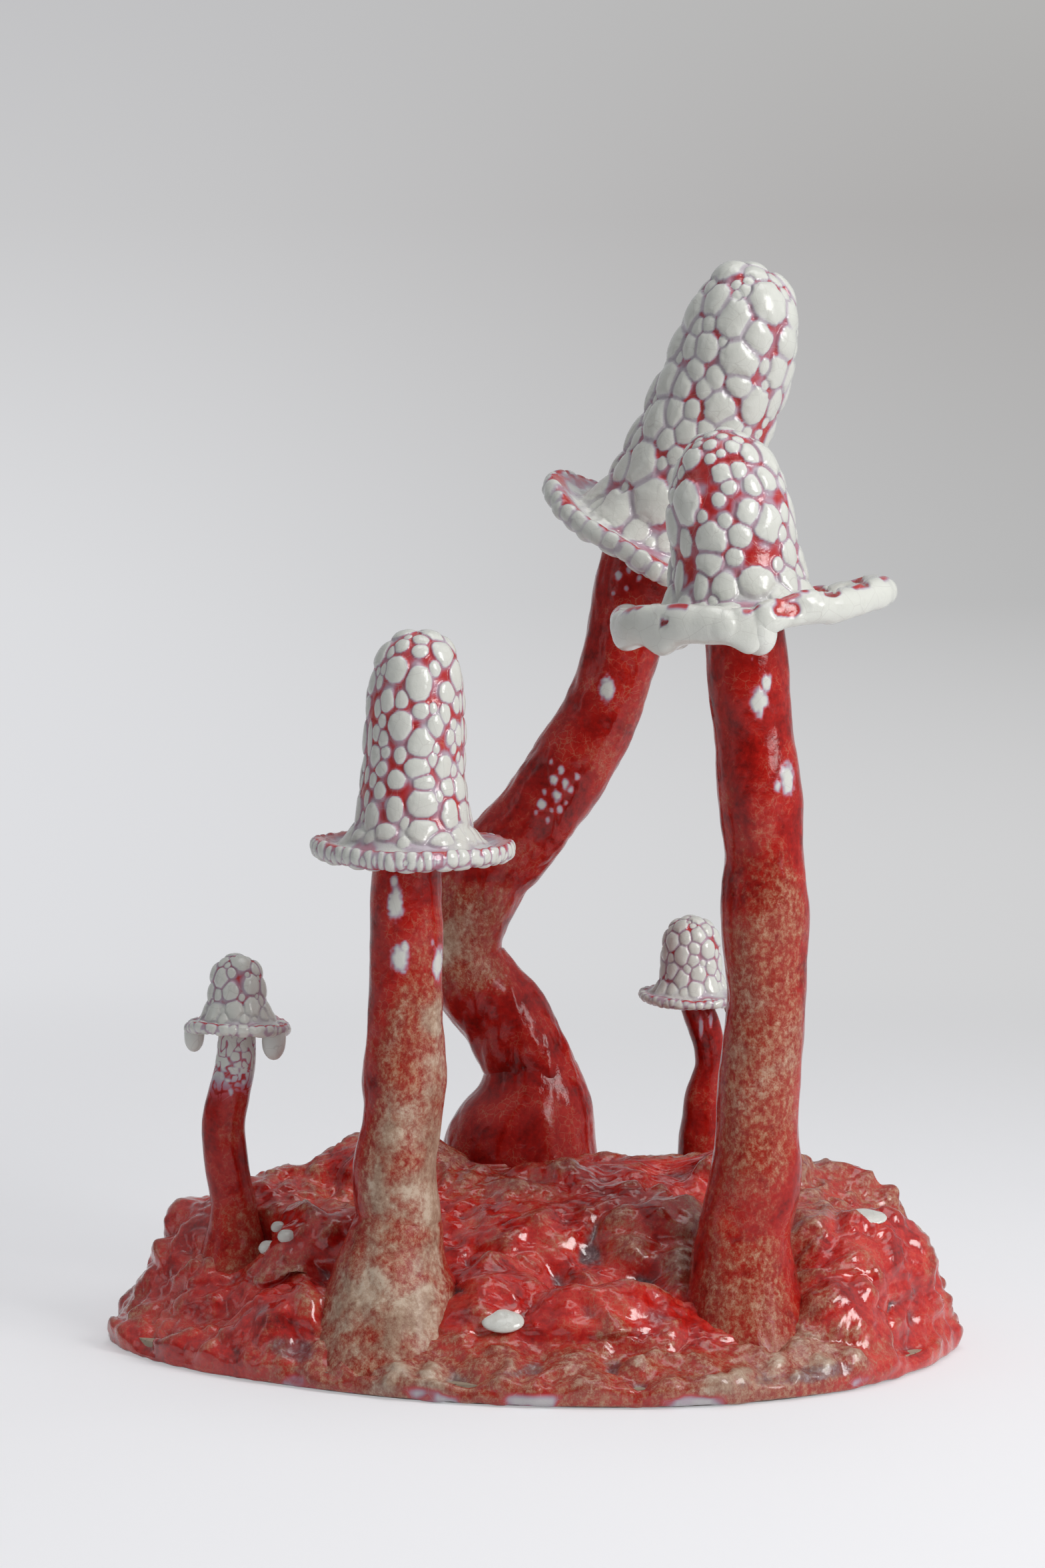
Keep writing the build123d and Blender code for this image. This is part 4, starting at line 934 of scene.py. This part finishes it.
# Front left cap: a long thimble with upright oval beads and a beaded hem
cap(
    "front_left_cap", seat=(-43.7, -62, 193), lean=(0, 0), bend=0.35, size=(380, 250), thick=0.32, seed=347,
    rim_beads=(44, 2.6, 1.5, 0.6, 0.34), part=0.75, spread=1.1, fused=0.42,
    profile=(
        (0.6, -2.8), (12, -3), (22, -2.8), (30, -3), (34, -3.6), (36.2, -2.2), (36.7, 0.2), (35.8, 2.4),
        (33.2, 2.6), (28.6, 1.4), (25.2, 2.6), (22.4, 6), (20.6, 10), (19.4, 18), (18, 30), (17.4, 42),
        (16.8, 54), (15.8, 62), (14.2, 69), (11.4, 74), (7.4, 77.4), (3.6, 78.6), (0.6, 78.9),
    ),
    outline=(
        (0, 0.99), (30, 0.96), (60, 0.94), (90, 0.95), (120, 0.93), (150, 0.97), (180, 1), (210, 0.96),
        (240, 0.95), (270, 0.97), (300, 0.94), (330, 0.98),
    ),
    waves=(
        (0, 0.6), (40, 1.2), (80, 2.2), (120, 2.4), (160, 1.6), (185, 1.6), (215, 0.2), (245, -0.8),
        (270, -1.2), (295, -0.8), (330, -0.4),
    ),
    zones=((4, 82, 0, 30, 1.6, 4.4, 1.35), (-5, -1.5, 24, 36, 1.6, 3.6, 1)),
    placed=(
        (-5.4, 74, 3, 1.1), (1.3, 76, 3, 0.8), (1.3, 72.4, 3.1, 0.85), (9.4, 71.1, 4.9, 1.05),
        (-7, 65.4, 4.7, 1.1), (1.3, 60.6, 5.1, 1.3), (11.3, 57, 3.8, 1.1), (-9.9, 54.5, 3.1, 1.4),
        (-13.1, 51.9, 2, 1.7), (2.6, 51.3, 3.1, 1), (6.7, 51.6, 1.6, 1.4), (11, 50, 2.6, 1.5),
        (-4.7, 45.5, 4.7, 1.2), (2.9, 39.7, 4.9, 1.1), (7.8, 45.5, 3.2, 1.4), (15.6, 65.4, 1.9, 1.5),
        (16.1, 60.3, 1.6, 1.6), (16.3, 53.2, 1.6, 2.3), (14.2, 45.8, 1.8, 1.25), (13.2, 41, 2.4, 1.2),
        (14.5, 37.5, 1.6, 1.4), (17.3, 43.6, 1.7, 2.8), (16.1, 34, 1.4, 1.3), (-10.5, 40.4, 2.4, 1.3),
        (-9.9, 36.2, 2.2, 1), (-4.4, 35.3, 2.4, 1.3), (1.7, 30.8, 4.6, 0.85), (-11.1, 30.1, 3, 0.95),
        (-5.7, 26.3, 3.5, 1), (-11.5, 22.4, 2.8, 1.2), (10.9, 30.8, 3.7, 1.2), (12.5, 23.7, 3.2, 1.1),
        (4.2, 25, 4.1, 0.8), (3.8, 17.9, 5.7, 1), (-6, 16, 3.2, 1.6), (-14.4, 12.8, 3.8, 1.4),
        (13.5, 13.5, 3.8, 1.5), (18.9, 21.2, 1.6, 3.4), (19.6, 13.5, 2.2, 1.7), (3.8, 8.3, 5.7, 0.8),
        (-9.3, 7.7, 4.4, 0.75), (-19.5, 5.8, 3.8, 0.6), (10.6, 4.8, 5.6, 0.5), (20.9, 5.1, 3.2, 1),
        (-15.7, 40.4, 2, 3.4), (-12.7, 61.2, 1.9, 1.5), (-16.6, 27.6, 1.7, 2), (-16.4, 19.2, 1.7, 2),
    ),
)

# Tall cap: the longest thimble, leaning right over the others, with the fattest beads
cap(
    "tall_cap", seat=(46, 42, 305), lean=(27, 14), bend=-0.8, size=(370, 260), thick=0.36, seed=359,
    rim_beads=(34, 4.2, 1.1, 0.5, 0.24), part=0.66, spread=1.18, fused=0.6,
    profile=(
        (0.6, -3.2), (14, -3.6), (28, -3.4), (38, -3.6), (43, -4.2), (46, -2.6), (46.8, 0.2), (45.6, 3),
        (42, 3.2), (36, 1.8), (30.5, 2.2), (27.6, 5.6), (25.6, 10.6), (24.4, 20), (23.6, 34), (23.2, 50),
        (22.8, 66), (22.2, 80), (20.8, 91), (18, 100), (13.6, 107), (8, 110.6), (3.6, 111.8), (0.6, 112.1),
    ),
    outline=(
        (0, 0.99), (30, 0.96), (60, 0.93), (90, 0.95), (120, 0.92), (150, 0.97), (180, 1), (210, 0.95),
        (240, 0.94), (270, 0.97), (300, 0.93), (330, 0.98),
    ),
    waves=(
        (0, 0), (40, 1), (80, 1.5), (120, 0.5), (165, 1.5), (190, 1), (220, -1), (250, 0.4), (280, -0.8),
        (310, 0.5), (340, -0.6),
    ),
    zones=((4, 114, 0, 32, 2, 7.5, 1.15), (-5, -1, 30, 47, 2, 4.5, 1)),
    placed=(
        (3.5, 104.4, 7.8, 0.93), (14.5, 103, 5.4, 1.2), (-7.2, 93.9, 6.4, 1.25), (3, 91.1, 5.9, 1),
        (16, 94, 6.2, 1), (-0.4, 81.3, 7.3, 1), (15.4, 82.5, 5.6, 1.1), (-13.2, 78.9, 4.9, 1.1),
        (-14.3, 69.5, 4.1, 1.05), (-6.5, 71.2, 3.6, 1.25), (-16.3, 61.9, 4.4, 1.25), (-8.9, 65, 3.2, 1.2),
        (2.7, 72.2, 5.3, 0.8), (11.6, 68.1, 5.9, 1.2), (-0.6, 60.9, 5.7, 1.1), (19.5, 70.3, 4.9, 1.25),
        (-15.6, 51.3, 4.7, 1.25), (-9.9, 56, 3.3, 1.25), (-9.2, 47.6, 4.1, 1.25), (-14.3, 41, 3.8, 1.2),
        (-8.3, 37.4, 3.6, 1), (5.8, 56.3, 5.5, 0.8), (-19.9, 45.2, 6.4, 1.3), (-18.6, 28.2, 6.8, 1.25),
        (-12.1, 32.2, 2.1, 1.25), (-9.6, 17.8, 8, 1.1), (-4.2, 31.2, 4.2, 1.25), (2.4, 7.1, 4.2, 0.95),
        (12.6, 57.5, 2.6, 0.9), (18, 58.2, 2.3, 0.8),
    ),
    bare=((-1, 44, 5, 7), (11, 92, 3, 5), (9, 70, 3, 7), (-16, 66, 3, 6), (-4, 24, 6, 5), (-1, 10, 5, 3)),
)

# Small caps: little thimbles with a fine hem, one at the left end and one at the back
small_outline = (
    (0, 1), (40, 0.97), (80, 0.95), (120, 0.98), (160, 1), (200, 0.98), (240, 0.96), (280, 0.95),
    (320, 0.99),
)
cap(
    "small_left_cap", seat=(-111.5, -15, 123), lean=(0, 0), bend=0, size=(230, 180), thick=0.38, seed=373,
    rim_beads=(18, 3.2, 1, 0.2, 0.25),
    profile=(
        (0.4, -1.6), (6, -1.8), (12, -1.7), (16, -1.9), (18.2, -1.7), (19.2, -0.4), (19, 1), (17.4, 1.6),
        (14.6, 1.4), (12.4, 3.2), (10.8, 6.4), (9.8, 10), (9.2, 14), (8.6, 18), (7.2, 21.6), (4.6, 24),
        (2.2, 24.8), (0.4, 25),
    ),
    outline=small_outline,
    waves=((0, -2.2), (40, 0), (90, 0.6), (140, 0), (180, -1.4), (225, 0.2), (270, -0.4), (315, -1.2)),
    zones=((3, 27, 0, 15, 1, 3.6, 1.15), (-3, 0, 12, 20, 1, 2.6, 1)),
    bare=((1, 17, 3, 5.5), (-4, 9, 3, 2)),
)
cap(
    "small_back_cap", seat=(63, 60, 124), lean=(0, 0), bend=0, size=(230, 180), thick=0.36, seed=389,
    rim_beads=(24, 2.6, 1, 0.2, 0.25),
    profile=(
        (0.4, -1.6), (6, -1.8), (13, -1.7), (17.4, -1.9), (19.8, -1.6), (20.8, -0.3), (20.4, 1.1),
        (18.6, 1.7), (15.6, 1.8), (13.4, 4), (12, 8), (11.4, 12), (11.2, 17), (10.6, 22), (8.8, 26.6),
        (5.8, 29.4), (2.6, 30.6), (0.4, 30.9),
    ),
    outline=small_outline,
    waves=((0, -0.6), (40, 0.5), (90, 1.2), (140, 0.8), (180, 0.4), (225, -0.8), (270, -1.6), (315, -1)),
    zones=((3, 33, 0, 16, 1, 3.2, 1.2), (-3, 0, 13, 21, 1, 2.4, 1)),
)

# Drips and drops: glaze that ran off the caps in the fire. Some hangs in beads under the brims,
# and some fell on the mound and set there as flat white drops.
bead_glaze = glaze("white_glaze_bead", bead_reds, (0.66, 0.67, 0.625), gloss=0.04)
drip_widest = 9.2
drip_rings, drip_round = 56, 72
drop_rings, drop_round = 40, 64
drip_outline = (
    (0.3, -1), (3.4, -0.95), (6.4, -0.8), (8.6, -0.55), (9.2, -0.3), (8.6, -0.05), (7.2, 0.14), (4.8, 0.26),
    (2.2, 0.31), (0.3, 0.33),
)


def hanging(name, node_name, swell, seed, places):
    """Hanging beads, a piece for each place: x, y, z, radius and length. Each is the drip's outline
    carried round an upright line, to its own radius and length, and swelled a little by noise."""
    turns = full_turn(drip_round)
    for number, (x, y, z, radius, length) in enumerate(places):
        outline = [(wide / drip_widest * radius, down * length) for wide, down in drip_outline]
        bead = revolved(outline, drip_rings, turns)
        bead += outward(bead) * (swell * layered(bead, radius * 1.5, seed, 2))[..., None]
        skin(f"{name}_{number}", bead + (x, y, z), bead_glaze, "white_glaze_bead", node_name, white=1.0)


hanging("front_right_drip", "front_right_glaze_beads", 0.5, 411, (
    (50.4, -90.5, 276.5, 6.2, 10.5), (79, -101.2, 276.4, 6.6, 12), (37.5, -73, 277.5, 5, 8),
))
hanging("small_left_drip", "small_left_glaze_beads", 0.3, 419, (
    (-127.6, -16.5, 121.4, 3.9, 9), (-97.3, -21.5, 120.5, 4.6, 10.5),
))
hanging("small_back_drip", "small_back_glaze_bead", 0.2, 431, ((77.9, 51.4, 122.4, 2.3, 5.2),))

# Each fallen drop: place, half sizes along x and y, thickness, and the ground's slope in degrees
drops = (
    (-11.2, -87.4, 7.6, 5.6, 2.2, -32), (123.2, -34.5, 8.4, 5.6, 1.6, -20),
    (-99.2, -34.5, 3.9, 3.4, 2.4, -20), (-92, -40.2, 3.5, 3, 2.2, -25), (-96, -27.6, 3.1, 2.8, 2, -15),
)
drop_outline = (
    (0.2, -0.9), (0.6, -0.8), (0.92, -0.5), (1, -0.15), (0.96, 0.2), (0.8, 0.55), (0.52, 0.84), (0.24, 0.97),
    (0.04, 1),
)
turns = full_turn(drop_round)
for number, (x, y, wide, deep, thick, slope) in enumerate(drops):
    off = np.hypot(mound[..., 0] - x, mound[..., 1] - y)
    ground = mound[np.unravel_index(np.argmin(off), off.shape)]
    drop = revolved(drop_outline, drop_rings, turns) * (wide, deep, thick)
    drop += outward(drop) * (0.18 * thick * layered(drop, 4.0, 443, 2))[..., None]
    drop = drop @ upright(0, -slope).T + ground
    skin(f"fallen_drop_{number}", drop, bead_glaze, "white_glaze_bead", "fallen_glaze_drops", white=1.0)
